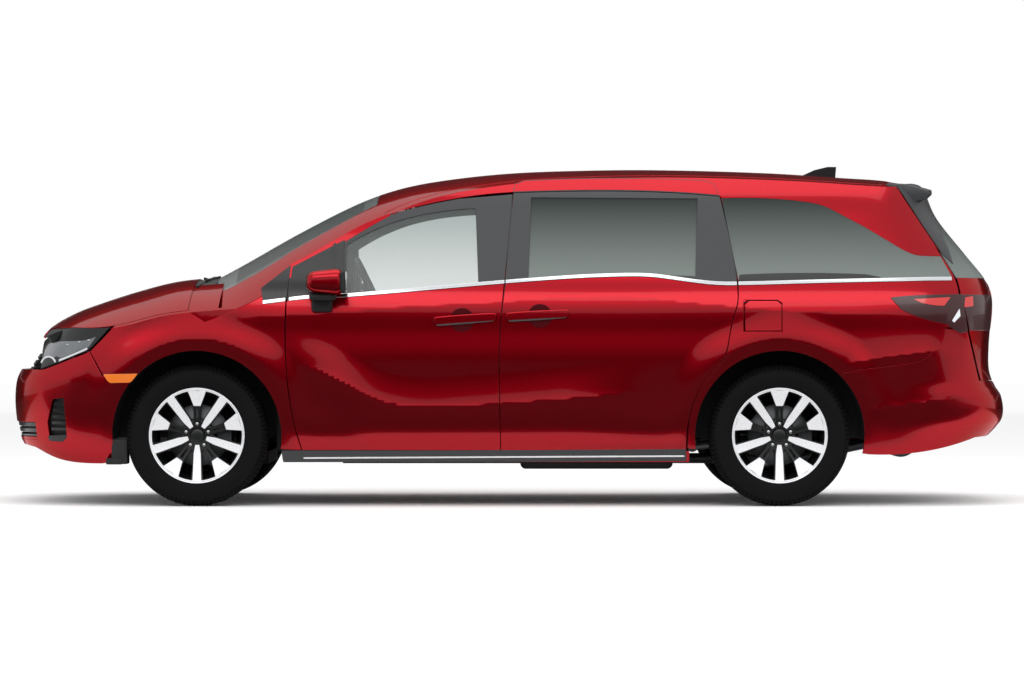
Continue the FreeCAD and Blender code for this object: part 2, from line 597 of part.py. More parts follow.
# Floor, engine bay and the structure under the skin
FLOOR = size("floor_height")
UNDER = SILL - GAP
REAR_FLOOR = 500
CROSS_REAR = 930
liners = {}
for x, inner, clear in ((FRONT_AXLE, 500, SKIN), (REAR_AXLE, 620, PILLAR)):
    ring = bar(x, HUB, ARCH + 10, -1000, -inner).cut(bar(x, HUB, ARCH + 2, -1001, -inner + 1))
    below = block(x - 600, x + 600, -1100, 0, -200, UNDER + 60)
    ring = ring.cut(below).common(left_half(clear + MESH_SEAT))
    wall = bar(x, HUB, ARCH + 6, -inner - 8, -inner).cut(below)
    liners[x] = [ring, wall]
arm_room = block(REAR_AXLE - 340, REAR_AXLE + 160, -700, -600, 0, 430)
liners[REAR_AXLE] = [piece.cut(arm_room) for piece in liners[REAR_AXLE]]
front_carriers = liners[FRONT_AXLE] + [
    block(-2580, -2400, -420, 0, 470, 590).common(left_half(SKIN + SEAT)),
    block(-2440, -2200, -1000, -566, 740, 780).common(left_half(LAMP_DEEP + SEAT)),
    block(-2440, -2200, -567, -500, 740, 780).common(left_half(GRILLE_DEEP + SEAT)),
    block(-2600, -2400, -300, 0, 730, 760).common(left_half(GRILLE_DEEP + SEAT)),
    block(-2420, -2380, -520, 0, 380, 780).common(left_half(GRILLE_DEEP + SEAT))]
rear_carriers = liners[REAR_AXLE] + [block(2380, 2700, -420, 0, 480, 560).common(left_half(SKIN + SEAT))]
floor = fused(front_carriers + [mirrored(piece) for piece in front_carriers] + [
    block(-1160, CROSS_REAR - 40 - SEAT, -750, 750, UNDER, FLOOR),
    block(-1200, -1160, -800, 800, UNDER, 1080),
    block(-2420, -1160, -508, -440, 420, 520),
    block(-2420, -1160, 440, 508, 420, 520),
    hood_bulk(18).cut(hood_bulk(30)).common(block(-1618, -1572, -570, 570, 1000, 1200)),
    block(-1606, -1580, -570, 570, 1030, 1160).common(hood_bulk(20)),
    block(-1640, -1160, -700, 700, 1015, 1035)])
for s in (-1, 1):
    floor = floor.fuse(bar(-1540, 1056, 6, *sorted((s * 596, s * 632))))
    for y in (s * 594, s * 622):
        floor = floor.fuse(block(-1550, -1530, min(y, y + s * 10), max(y, y + s * 10), 1030, 1066))
floor = floor.removeSplitter()
node("underbody", floor)
node("rear_floor", fused(rear_carriers + [mirrored(piece) for piece in rear_carriers] + [
    block(CROSS_REAR - 40, CROSS_REAR, -800, 800, UNDER, REAR_FLOOR),
    block(900, 2400, -628, 628, REAR_FLOOR - 40, REAR_FLOOR),
    block(2380, 2420, -700, 700, REAR_FLOOR - 40, 640)]))
SUBFRAME_TOP = 270
engine = block(-2200, -1500, -340, 340, SUBFRAME_TOP + SEAT, 900)
node("engine", engine.makeFillet(30, engine.Edges))
tank = block(60, 860, -560, 60, 180, UNDER - SEAT)
node("fuel_tank", tank.makeFillet(30, tank.Edges))
exhaust = fused([tube((-900, 240, 215), (1560, 240, 215), 28), tube((1560, 240, 215), (1960, 240, 300), 28),
                 bar(2080, 330, 95, -260, 320), tube((1960, 240, 300), (2080, 240, 330), 28),
                 tube((-300, 240, 215), (-300, 240, UNDER), 12), tube((2080, 0, 330),
                     (2080, 0, REAR_FLOOR - 40), 12)])
node("exhaust", exhaust.removeSplitter())

# Dashboard, steering wheel and seats
wheel_tilt = -25
WHEEL_AT = (-722, -400, 1105)
DASH_FRONT = -1160 + SEAT
dash_profile = Part.makePolygon([Vector(x, -760, z) for x, z in
                                 [(DASH_FRONT, 700), (DASH_FRONT, 1060), (-1080, 1130), (-900, 1150),
                                     (-830, 1080),
                                  (-880, 780), (-960, 700), (DASH_FRONT, 700)]])
dash = Part.Face(dash_profile).extrude(Vector(0, 1520, 0))
hood_box = Part.makeBox(150, 360, 110, Vector(-960, -580, 1100))
dash = fused([dash, hood_box, block(-1150, -300, -130, 130, FLOOR, 720)])
lean = Vector(math.cos(math.radians(-wheel_tilt)), 0, math.sin(math.radians(-wheel_tilt)))
column = Part.makeCylinder(24, 190, Vector(*WHEEL_AT) - lean * (40 + SEAT), -lean)
dash = fused([dash, column])
node("dashboard", dash)


def seat(x, y, wide, low, tilt, deep=480):
    """Seat with its cushion, reclined back and headrest, and the foot that carries it."""
    cushion = Part.makeBox(deep, wide, 150, Vector(x - deep, y - wide / 2, low + 190))
    foot = Part.makeBox(deep - 120, wide - 120, 191, Vector(x - deep + 60, y - wide / 2 + 60, low))
    rest = Part.makeBox(120, wide, 620, Vector(x - 60, y - wide / 2, low + 220))
    head = Part.makeBox(90, 250, 150, Vector(x - 45, y - 125, low + 870))
    post = Part.makeBox(20, 130, 60, Vector(x - 10, y - 65, low + 830))
    turned = rest.fuse([head, post])
    turned.rotate(Vector(x, y, low + 240), Vector(0, 1, 0), tilt)
    return fused([cushion, foot, turned])


node("seats", Part.makeCompound([seat(-150, -400, 520, FLOOR, 14), seat(-150, 400, 520, FLOOR, 14),
                                 seat(760, -440, 480, FLOOR, 14), seat(760, 440, 480, FLOOR, 14),
                                 seat(1720, 0, 1180, REAR_FLOOR, 14)]))

rim = Part.makeTorus(183, 16)
wheel_hub = Part.makeCylinder(60, 46, Vector(0, 0, -40))
spokes = Part.makeBox(360, 40, 16, Vector(-180, -20, -20))
spoke_low = Part.makeBox(40, 180, 16, Vector(-20, 0, -20))
hand_wheel = fused([rim, wheel_hub, spokes, spoke_low])
node("steering_wheel", hand_wheel, Placement(Vector(*WHEEL_AT), Rotation(Vector(0, 1, 0), 90 + wheel_tilt)))

# Suspension, with the arms that carry the wheels
KING = 774
arms = []
for s in (-1, 1):
    arms.append(tube((FRONT_AXLE, s * 380, 232), (FRONT_AXLE, s * KING, 232), 20))
    arms.append(tube((FRONT_AXLE + 260, s * 380, 236), (FRONT_AXLE, s * KING, 232), 18))
    arms.append(Part.makeCylinder(28, 44, Vector(FRONT_AXLE, s * KING, 210)))
subframe = block(FRONT_AXLE - 160, FRONT_AXLE + 340, -440, 440, 205, SUBFRAME_TOP)
for x in (FRONT_AXLE - 150, FRONT_AXLE + 300):
    arms += [block(x, x + 30, -440, -400, 260, 440), block(x, x + 30, 400, 440, 260, 440)]
subframe = fused([subframe] + arms)
for s in (-1, 1):
    subframe = subframe.cut(Part.makeCylinder(12 + SEAT, 200, Vector(FRONT_AXLE, s * KING, 150)))
node("front_subframe", subframe)



def upright(x, s):
    """Spindle, carrier plate and brake caliper of one wheel."""
    hub_y = s * size("front_track") / 2
    disc_near = size("front_track") / 2 - size("hub_back")
    caliper = block(x + 100, x + 172, *sorted((s * (disc_near - 34), s * (disc_near + 46))), HUB - 52,
        HUB + 52)
    slot = bar(x, HUB, size("disc_radius") + 5,
        *sorted((s * (disc_near - 5), s * (disc_near + size("disc_wall") + 5))))
    return [bar(x, HUB, size("hub_bore") - SEAT, *sorted((s * 760, hub_y))),
            bar(x, HUB, 62, *sorted((s * 740, s * 784))),
            caliper.cut(slot),
            block(x, x + 120, *sorted((s * 762, s * (disc_near - 6))), HUB - 40, HUB + 40)]


rear_arms = [block(REAR_AXLE - 120, REAR_AXLE + 120, -460, 460, 250, 330)]
for s in (-1, 1):
    rear_arms.append(tube((REAR_AXLE, s * 440, 300), (REAR_AXLE, s * 760, HUB), 30))
    rear_arms.append(tube((960, s * 560, 300), (REAR_AXLE, s * 730, HUB - 10), 24))
    rear_arms.append(bar(CROSS_REAR + 30 + SEAT, 300, 30, *sorted((s * 530, s * 590))))
    rear_arms.append(Part.makeCylinder(50, REAR_FLOOR - 40 - SEAT - 320, Vector(REAR_AXLE, s * 400, 320)))
    rear_arms += upright(REAR_AXLE, s)
node("rear_suspension", fused(rear_arms))

PIN = 12
for label, s in (("L", -1), ("R", 1)):
    pieces = upright(FRONT_AXLE, s) + [
        block(FRONT_AXLE - 30, FRONT_AXLE + 30, *sorted((s * 742, s * 768)), 262, HUB + 120),
        block(FRONT_AXLE - 16, FRONT_AXLE + 16, *sorted((s * 750, s * (KING + 16))), 262, 286),
        Part.makeCylinder(PIN, 90, Vector(FRONT_AXLE, s * KING, 190))]
    node("front_knuckle_" + label, fused(pieces))


def plane(body, role):
    return [item for item in body.Origin.OriginFeatures if item.Role == role][0]


def profile_sketch(body, name, role, points):
    """Closed sketch whose corners are bound to expressions of the sizes."""
    sketch = body.newObject("Sketcher::SketchObject", name)
    sketch.AttachmentSupport = [(plane(body, role), "")]
    sketch.MapMode = "FlatFace"
    values = [(float(sketch.evalExpression(a)), float(sketch.evalExpression(b))) for a, b in points]
    count = len(values)
    for i in range(count):
        start, stop = values[i], values[(i + 1) % count]
        sketch.addGeometry(Part.LineSegment(Vector(*start, 0), Vector(*stop, 0)), False)
    for i in range(count):
        sketch.addConstraint(Sketcher.Constraint("Coincident", i, 2, (i + 1) % count, 1))
    for i, corner in enumerate(points):
        for axis, expression, value in zip("XY", corner, values[i]):
            index = sketch.addConstraint(Sketcher.Constraint("Distance" + axis, -1, 1, i, 1, value))
            label = "corner_%s_%d" % (axis, i)
            sketch.renameConstraint(index, label)
            sketch.setExpression("Constraints." + label, expression)
    return sketch


def revolved(body, name, points):
    feature = body.newObject("PartDesign::Revolution", name)
    sketch = profile_sketch(body, name + "_profile", "XY_Plane", points)
    feature.Profile = sketch
    feature.ReferenceAxis = (sketch, ["V_Axis"])
    feature.Angle = 360
    body.Tip = feature
    return feature


def wheel(label, place):
    """Rim, spokes, hub and brake disc; the outer face looks along -Y."""
    body = doc.addObject("PartDesign::Body", label)
    rim = "Sizes.rim_radius"
    revolved(body, "rim", [
        (rim, "-Sizes.rim_width / 2"), (rim, "-Sizes.rim_width / 2 + 8"),
        (rim + " - 12", "-Sizes.rim_width / 2 + 14"), (rim + " - 26", "-Sizes.rim_width / 2 + 60"),
        (rim + " - 26", "Sizes.rim_width / 2 - 20"), (rim, "Sizes.rim_width / 2 - 8"),
        (rim, "Sizes.rim_width / 2"), (rim + " - 8", "Sizes.rim_width / 2"),
        (rim + " - 36", "Sizes.rim_width / 2 - 24"), ("Sizes.rim_inner - 6", "-Sizes.rim_width / 2 + 62"),
        (rim + " - 18", "-Sizes.rim_width / 2 + 6"), (rim + " - 10", "-Sizes.rim_width / 2")])
    revolved(body, "face", [
        ("0", "-Sizes.rim_width / 2 + 18"), ("Sizes.hub_radius", "-Sizes.rim_width / 2 + 18"),
        ("Sizes.rim_inner + 12", "-Sizes.rim_width / 2 + 10"), ("Sizes.rim_inner + 12",
            "-Sizes.rim_width / 2 + 40"),
        ("Sizes.hub_radius", "-Sizes.rim_width / 2 + 52"), ("Sizes.hub_radius", "Sizes.hub_back"),
        ("Sizes.hub_bore", "Sizes.hub_back"), ("Sizes.hub_bore", "-Sizes.rim_width / 2 + 45"),
        ("0", "-Sizes.rim_width / 2 + 45")])
    for name, side in (("window", ""), ("far_window", "-")):
        pocket = body.newObject("PartDesign::Pocket", name)
        turned = [("inner", "inner_start"), ("outer", "outer_start"), ("outer", "outer_end"),
            ("inner", "inner_end")]
        corners = [("%sSizes.window_%s * sin(Sizes.window_%s * 1 deg)" % (side, radius, angle),
                    "-Sizes.window_%s * cos(Sizes.window_%s * 1 deg)" % (radius,
                        angle)) for radius, angle in turned]
        pocket.Profile = profile_sketch(body, name + "_outline", "XZ_Plane", corners)
        pocket.Type = "ThroughAll"
        pocket.Midplane = True
        pattern = body.newObject("PartDesign::PolarPattern", name + "_ring")
        pattern.Originals = [pocket]
        pattern.Axis = (plane(body, "Y_Axis"), [""])
        pattern.Angle = 360
        pattern.Occurrences = 5
        body.Tip = pattern
        doc.recompute()
    revolved(body, "disc", [
        ("Sizes.hub_radius - 10", "Sizes.hub_back - Sizes.disc_wall"),
        ("Sizes.disc_radius", "Sizes.hub_back - Sizes.disc_wall"),
        ("Sizes.disc_radius", "Sizes.hub_back"), ("Sizes.hub_radius - 10", "Sizes.hub_back")])
    doc.recompute()
    body.Placement = place
    NODES.append(body)
    return body


def tyre(label, place):
    body = doc.addObject("PartDesign::Body", label)
    bead = "Sizes.rim_radius + Sizes.seat_gap"
    wide = "Sizes.tyre_width / 2"
    revolved(body, "carcass", [
        (bead, "-Sizes.rim_width / 2 + 4"), ("Sizes.rim_radius + 40", "-" + wide + " + 4"),
        ("Sizes.rim_radius + 66", "-" + wide), ("Sizes.tyre_radius - 16", "-" + wide + " + 12"),
        ("Sizes.tyre_radius - 4", "-" + wide + " + 28"), ("Sizes.tyre_radius", "-" + wide + " + 50"),
        ("Sizes.tyre_radius", wide + " - 50"), ("Sizes.tyre_radius - 4", wide + " - 28"),
        ("Sizes.tyre_radius - 16", wide + " - 12"), ("Sizes.rim_radius + 66", wide),
        ("Sizes.rim_radius + 40", wide + " - 4"), (bead, "Sizes.rim_width / 2 - 4")])
    doc.recompute()
    body.Placement = place
    NODES.append(body)
    return body


for label, x, track, s in (("FL", FRONT_AXLE, "front_track", -1), ("FR", FRONT_AXLE, "front_track", 1),
                           ("RL", REAR_AXLE, "rear_track", -1), ("RR", REAR_AXLE, "rear_track", 1)):
    turn = Rotation(Vector(0, 0, 1), 0 if s < 0 else 180)
    place = Placement(Vector(x, s * size(track) / 2, HUB), turn)
    wheel("wheel_" + label, place)
    tyre("tyre_" + label, place)

doc.recompute()
for item in doc.Objects:
    if "Invalid" in item.State or "Error" in item.State:
        raise RuntimeError("failed object: " + item.Label)
os.makedirs("parts", exist_ok=True)
for item in NODES:
    shape = item.Shape
    if shape.isNull() or not shape.isValid():
        raise RuntimeError("bad shape: " + item.Label)
    shape.exportStep("parts/" + item.Label + ".step")
    print(item.Label, len(shape.Solids), round(shape.Volume / 1e6, 2))
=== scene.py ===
"""Family minivan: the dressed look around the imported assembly."""

import logging
import math
from dataclasses import dataclass, field
from enum import Enum
from typing import Callable, Iterable, Sequence

import bmesh
import bpy
import numpy as np
from mathutils import Matrix, Vector


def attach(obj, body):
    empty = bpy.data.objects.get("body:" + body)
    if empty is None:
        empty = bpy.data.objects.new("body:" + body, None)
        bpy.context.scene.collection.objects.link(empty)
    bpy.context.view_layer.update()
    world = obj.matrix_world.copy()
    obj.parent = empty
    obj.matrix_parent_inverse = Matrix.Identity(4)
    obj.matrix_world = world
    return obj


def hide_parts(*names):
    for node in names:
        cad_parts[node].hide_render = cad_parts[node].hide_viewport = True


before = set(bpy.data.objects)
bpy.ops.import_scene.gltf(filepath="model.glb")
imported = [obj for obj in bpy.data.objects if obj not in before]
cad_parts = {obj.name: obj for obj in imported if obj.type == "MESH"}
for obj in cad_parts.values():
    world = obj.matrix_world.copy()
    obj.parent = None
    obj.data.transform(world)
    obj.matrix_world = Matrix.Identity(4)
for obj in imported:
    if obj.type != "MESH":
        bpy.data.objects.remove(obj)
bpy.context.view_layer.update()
LOG = logging.getLogger("minivan")

Colour = tuple[float, float, float, float]
Points = Sequence[tuple[float, float]]
Run = list[tuple[float, float]]
Deck = Callable[[np.ndarray, np.ndarray], np.ndarray]
Spot = tuple[float, float, float]
MM = 0.001

NOSE, TAIL, HALF, ROOF = -2606.0, 2606.0, 997.0, 1764.0
CORNER = 1500.0
FRONT_AXLE, REAR_AXLE, HUB = -1605.0, 1395.0, 364.0
ARCH = 438.0
GAP = 6.0


class Body(Enum):
    """Moving bodies of the assembly that dressed pieces ride on."""

    SHELL = "shell"
    DOOR_L = "door_L"
    DOOR_R = "door_R"
    HOOD = "hood_lid"
    GATE = "gate"
    FUEL = "fuel_lid"


def linear(level: float) -> float:
    """Linear value of an 8-bit sRGB level."""
    share = level / 255
    return share / 12.92 if share <= 0.04045 else ((share + 0.055) / 1.055) ** 2.4


def rgb(red: float, green: float, blue: float) -> Colour:
    """Linear colour of three 8-bit sRGB levels."""
    return (linear(red), linear(green), linear(blue), 1.0)


@dataclass(frozen=True)
class Finish:
    """A procedural finish: two tones, a grain that mixes them, gloss and a fine surface relief.

    Where rise is set, the tones mix by height instead, from its first value to its second, in metres.
    The slot names the material slot of most pieces in this finish; nothing in this script reads it.
    """

    name: str
    base: Colour
    second: Colour
    grain: float = 60.0
    roughness: tuple[float, float] = (0.35, 0.5)
    metallic: float = 0.0
    bump: float = 0.0
    coat: float = 0.0
    coat_roughness: float = 0.03
    transmission: float = 0.0
    ior: float = 1.45
    slot: str | None = None
    rise: tuple[float, float] | None = None
    edge: Colour | None = None

    def material(self) -> bpy.types.Material:
        """Build the material once and give it again after that.

        Returns:
            The material with this finish's name.
        """
        found = bpy.data.materials.get(self.name)
        if found:
            return found
        material = bpy.data.materials.new(self.name)
        material.use_nodes = True
        tree = material.node_tree
        shader = tree.nodes["Principled BSDF"]
        for socket, value in (("Metallic", self.metallic), ("Coat Weight", self.coat), ("IOR", self.ior),
                              ("Coat Roughness", self.coat_roughness),
                              ("Transmission Weight", self.transmission)):
            shader.inputs[socket].default_value = value
        if self.edge:
            shader.inputs["Specular Tint"].default_value = self.edge
        place = tree.nodes.new("ShaderNodeTexCoord")
        noise = tree.nodes.new("ShaderNodeTexNoise")
        noise.inputs["Scale"].default_value = self.grain
        noise.inputs["Detail"].default_value = 4.0
        tree.links.new(place.outputs["Object"], noise.inputs["Vector"])
        mix = tree.nodes.new("ShaderNodeMix")
        mix.data_type = "RGBA"
        mix.inputs[6].default_value = self.base
        mix.inputs[7].default_value = self.second
        if self.rise:
            split = tree.nodes.new("ShaderNodeSeparateXYZ")
            tree.links.new(place.outputs["Object"], split.inputs[0])
            share = tree.nodes.new("ShaderNodeMapRange")
            share.inputs["From Min"].default_value = self.rise[0]
            share.inputs["From Max"].default_value = self.rise[1]
            tree.links.new(split.outputs["Z"], share.inputs["Value"])
            tree.links.new(share.outputs["Result"], mix.inputs[0])
        else:
            tree.links.new(noise.outputs["Fac"], mix.inputs[0])
        tree.links.new(mix.outputs[2], shader.inputs["Base Color"])
        gloss = tree.nodes.new("ShaderNodeMapRange")
        gloss.inputs["To Min"].default_value = self.roughness[0]
        gloss.inputs["To Max"].default_value = self.roughness[1]
        tree.links.new(noise.outputs["Fac"], gloss.inputs["Value"])
        tree.links.new(gloss.outputs["Result"], shader.inputs["Roughness"])
        if self.bump:
            relief = tree.nodes.new("ShaderNodeBump")
            relief.inputs["Distance"].default_value = self.bump
            tree.links.new(noise.outputs["Fac"], relief.inputs["Height"])
            tree.links.new(relief.outputs["Normal"], shader.inputs["Normal"])
        return material


PAINT = Finish("red_metallic_paint", rgb(164, 4, 24), rgb(148, 2, 18), grain=900, roughness=(0.22, 0.28),
               metallic=0.95, coat=0.4, coat_roughness=0.05, edge=rgb(236, 104, 116), slot="paint")
GLOSS_BLACK = Finish("gloss_black_trim", rgb(16, 17, 19), rgb(10, 11, 12), grain=40, roughness=(0.2, 0.28),
                     slot="black_trim")
SATIN_BLACK = Finish("satin_black_pillar", rgb(52, 53, 55), rgb(40, 41, 43), grain=500,
                     roughness=(0.42, 0.52), slot="black_trim")
PLASTIC = Finish("grained_dark_plastic", rgb(24, 25, 27), rgb(16, 16, 18), grain=900, roughness=(0.55, 0.7),
                 bump=0.0003, slot="black_trim")
CHROME = Finish("bright_trim", rgb(226, 228, 230), rgb(206, 208, 212), grain=30, roughness=(0.08, 0.16),
                metallic=1.0, slot="steel")
SILL_GREY = Finish("dark_grey_sill", rgb(52, 55, 56), rgb(40, 42, 44), grain=300, roughness=(0.35, 0.5),
                   slot="black_trim")
CLEAR_GLASS = Finish("front_glass", rgb(226, 231, 229), rgb(176, 186, 184), grain=3, roughness=(0.0, 0.01),
                     coat=0.1, transmission=0.85, ior=1.03, rise=(1.1, 1.5), slot="clear_glass")
PRIVACY_GLASS = Finish("rear_tinted_glass", rgb(120, 127, 124), rgb(28, 34, 32), grain=3,
                       roughness=(0.0, 0.01), coat=0.02, transmission=0.04, ior=1.03, rise=(1.12, 1.64),
                       slot="privacy_glass")
SMOKED_RED = Finish("smoked_red_lens", rgb(58, 6, 12), rgb(38, 4, 8), grain=20, roughness=(0.2, 0.3),
                    coat=0.3, slot="red_lens")
BRIGHT_RED = Finish("bright_red_lens", rgb(200, 24, 24), rgb(170, 10, 14), grain=200, roughness=(0.12, 0.2),
                    coat=1.0, slot="red_lens")
AMBER = Finish("amber_lens", rgb(222, 120, 30), rgb(196, 92, 16), grain=300, roughness=(0.15, 0.25), coat=1.0,
               slot="red_lens")
WHITE_LENS = Finish("white_lens", rgb(226, 228, 232), rgb(200, 204, 210), grain=300, roughness=(0.1, 0.2),
                    coat=1.0, slot="clear_lens")
MACHINED = Finish("machined_alloy", rgb(238, 239, 241), rgb(224, 226, 229), grain=420, roughness=(0.24, 0.32),
                  metallic=0.3, slot="alloy")
BLACK_ALLOY = Finish("black_painted_alloy", rgb(16, 17, 18), rgb(10, 11, 12), grain=80, roughness=(0.3, 0.4),
                     coat=0.1, slot="alloy")
RUBBER = Finish("tyre_rubber", rgb(17, 17, 19), rgb(11, 11, 12), grain=400, roughness=(0.6, 0.75),
                bump=0.0003, ior=1.16, slot="tyre")
STEEL = Finish("cast_steel", rgb(104, 106, 108), rgb(78, 80, 82), grain=180, roughness=(0.35, 0.5),
               metallic=0.9, bump=0.0002, slot="steel")
UNDERSIDE = Finish("underbody_coat", rgb(14, 15, 16), rgb(9, 9, 10), grain=120, roughness=(0.7, 0.85),
                   bump=0.0006)
DOOR_TRIM = Finish("door_trim", rgb(48, 47, 47), rgb(38, 37, 38), grain=600, roughness=(0.55, 0.7))
SEAT_CLOTH = Finish("seat_leather", rgb(92, 90, 88), rgb(74, 72, 71), grain=260, roughness=(0.45, 0.6),
                    bump=0.0005)
DASH_SKIN = Finish("dashboard_skin", rgb(46, 46, 48), rgb(34, 34, 36), grain=500, roughness=(0.5, 0.65),
                   bump=0.0004)
LAMP_GREY = Finish("lamp_bowl", rgb(120, 124, 128), rgb(70, 73, 77), grain=9, roughness=(0.15, 0.3),
                   metallic=0.5, coat=1.0, slot="clear_lens")
# Handle cups: a darker red than the paint, painted shade of the recess behind each handle, laid on a flat
# disc.
CUP_PAINTED_SHADE = Finish("handle_cup_painted_shade", rgb(70, 1, 8), rgb(54, 1, 6), grain=700, roughness=(0.4, 0.5), ior=1.15,
                 slot="paint")
GRIP_GREY = Finish("handle_grip", rgb(74, 75, 77), rgb(56, 57, 59), grain=300, roughness=(0.35, 0.45),
                   slot="black_trim")
ENGINE_GREY = Finish("engine_casting", rgb(120, 122, 124), rgb(84, 86, 88), grain=90, roughness=(0.4, 0.6),
                     metallic=0.6, bump=0.0006)


# Lines of the body, in millimetres


def along(pairs: Points, value: np.ndarray) -> np.ndarray:
    """Smooth curve through (position, value) pairs, straight past its ends.

    Args:
        pairs: Positions with their values, in rising order.
        value: Positions to read the curve at.

    Returns:
        The curve's value at each position.
    """
    at = np.array([p[0] for p in pairs], float)
    level = np.array([p[1] for p in pairs], float)
    slope = np.empty_like(level)
    slope[1:-1] = (level[2:] - level[:-2]) / (at[2:] - at[:-2])
    slope[0] = (level[1] - level[0]) / (at[1] - at[0])
    slope[-1] = (level[-1] - level[-2]) / (at[-1] - at[-2])
    value = np.asarray(value, float)
    i = np.clip(np.searchsorted(at, value, side="right") - 1, 0, len(at) - 2)
    span = at[i + 1] - at[i]
    u = np.clip((value - at[i]) / span, 0, 1)
    curve = ((2 * u**3 - 3 * u**2 + 1) * level[i] + (u**3 - 2 * u**2 + u) * span * slope[i]
             + (3 * u**2 - 2 * u**3) * level[i + 1] + (u**3 - u**2) * span * slope[i + 1])
    curve = np.where(value < at[0], level[0] + (value - at[0]) * slope[0], curve)
    return np.where(value > at[-1], level[-1] + (value - at[-1]) * slope[-1], curve)


NOSE_LINE = [(180, NOSE + 170), (300, NOSE + 46), (420, NOSE + 2), (640, NOSE), (760, NOSE + 66),
             (884, NOSE + 153), (1100, NOSE + 290), (1800, NOSE + 640)]
TAIL_LINE = [(180, TAIL - 200), (350, TAIL - 90), (440, TAIL - 4), (560, TAIL - 6), (640, TAIL - 54),
             (800, TAIL - 73), (1050, TAIL - 53), (1160, TAIL - 81), (1300, TAIL - 189),
             (1500, TAIL - 344), (1660, TAIL - 412), (1800, TAIL - 500)]
HOOD_LINE = [(NOSE - 60, 770), (NOSE + 153, 884), (NOSE + 195, 937), (NOSE + 302, 1001),
             (NOSE + 410, 1044), (NOSE + 625, 1114), (NOSE + 840, 1168), (NOSE + 1054, 1189),
             (NOSE + 1250, 1200)]
HOOD_FALL = [(NOSE, 90), (NOSE + 153, 100), (NOSE + 348, 150), (NOSE + 559, 183), (NOSE + 846, 176),
             (NOSE + 1250, 170)]
ROOF_LINE = [(NOSE + 700, 1040), (NOSE + 1000, 1160), (NOSE + 1162, 1243), (NOSE + 1484, 1425),
             (NOSE + 1806, 1587), (NOSE + 2021, ROOF - 102), (NOSE + 2236, ROOF - 59),
             (NOSE + 2559, ROOF - 22), (NOSE + 2881, ROOF - 6), (NOSE + 3350, ROOF),
             (NOSE + 3955, ROOF - 16), (NOSE + 4385, ROOF - 43), (NOSE + 4600, ROOF - 59),
             (NOSE + 4815, ROOF - 102)]
SECTION = [(180, HALF - 101), (300, HALF - 57), (450, HALF - 22), (600, HALF - 7), (760, HALF),
           (900, HALF - 5), (1010, HALF - 9), (1090, HALF - 24), (1165, HALF - 52), (1300, HALF - 98),
           (1450, HALF - 150), (1600, HALF - 214), (1700, HALF - 292), (1800, HALF - 400)]
NOSE_SQUARE, TAIL_SQUARE = 3.6, 4.2
HOOD_HALF, HOOD_POWER = 960, 2.2
ROOF_SWEEP, ROOF_SWEEP_HALF = 150, 750
ROOF_CROWN, ROOF_CROWN_HALF = 62, 700
NORMAL_STEP = 2.0
MIDDLE_NEAR = 0.5
MEET_LOW, MEET_HIGH, MEET_STEPS = 600.0, 1790.0, 24


class Surface:
    """A surface over a flat sheet (u, v), with a lift square to it, all in millimetres."""

    def flatten(self, points: np.ndarray) -> np.ndarray:
        """Drawn points on the flat sheet."""
        return points

    def rest(self, u: np.ndarray, v: np.ndarray) -> np.ndarray:
        """Points of the surface itself, one row each."""
        raise NotImplementedError

    def normals(self, u: np.ndarray, v: np.ndarray) -> np.ndarray:
        """Outward unit normals at the points.

        Args:
            u: Positions along the flat sheet.
            v: Positions up the flat sheet.

        Returns:
            One normal a row.
        """
        d = NORMAL_STEP
        du = self.rest(u + d, v) - self.rest(u - d, v)
        dv = self.rest(u, v + d) - self.rest(u, v - d)
        n = np.cross(du, dv)
        return n / np.maximum(np.linalg.norm(n, axis=1, keepdims=True), 1e-9)


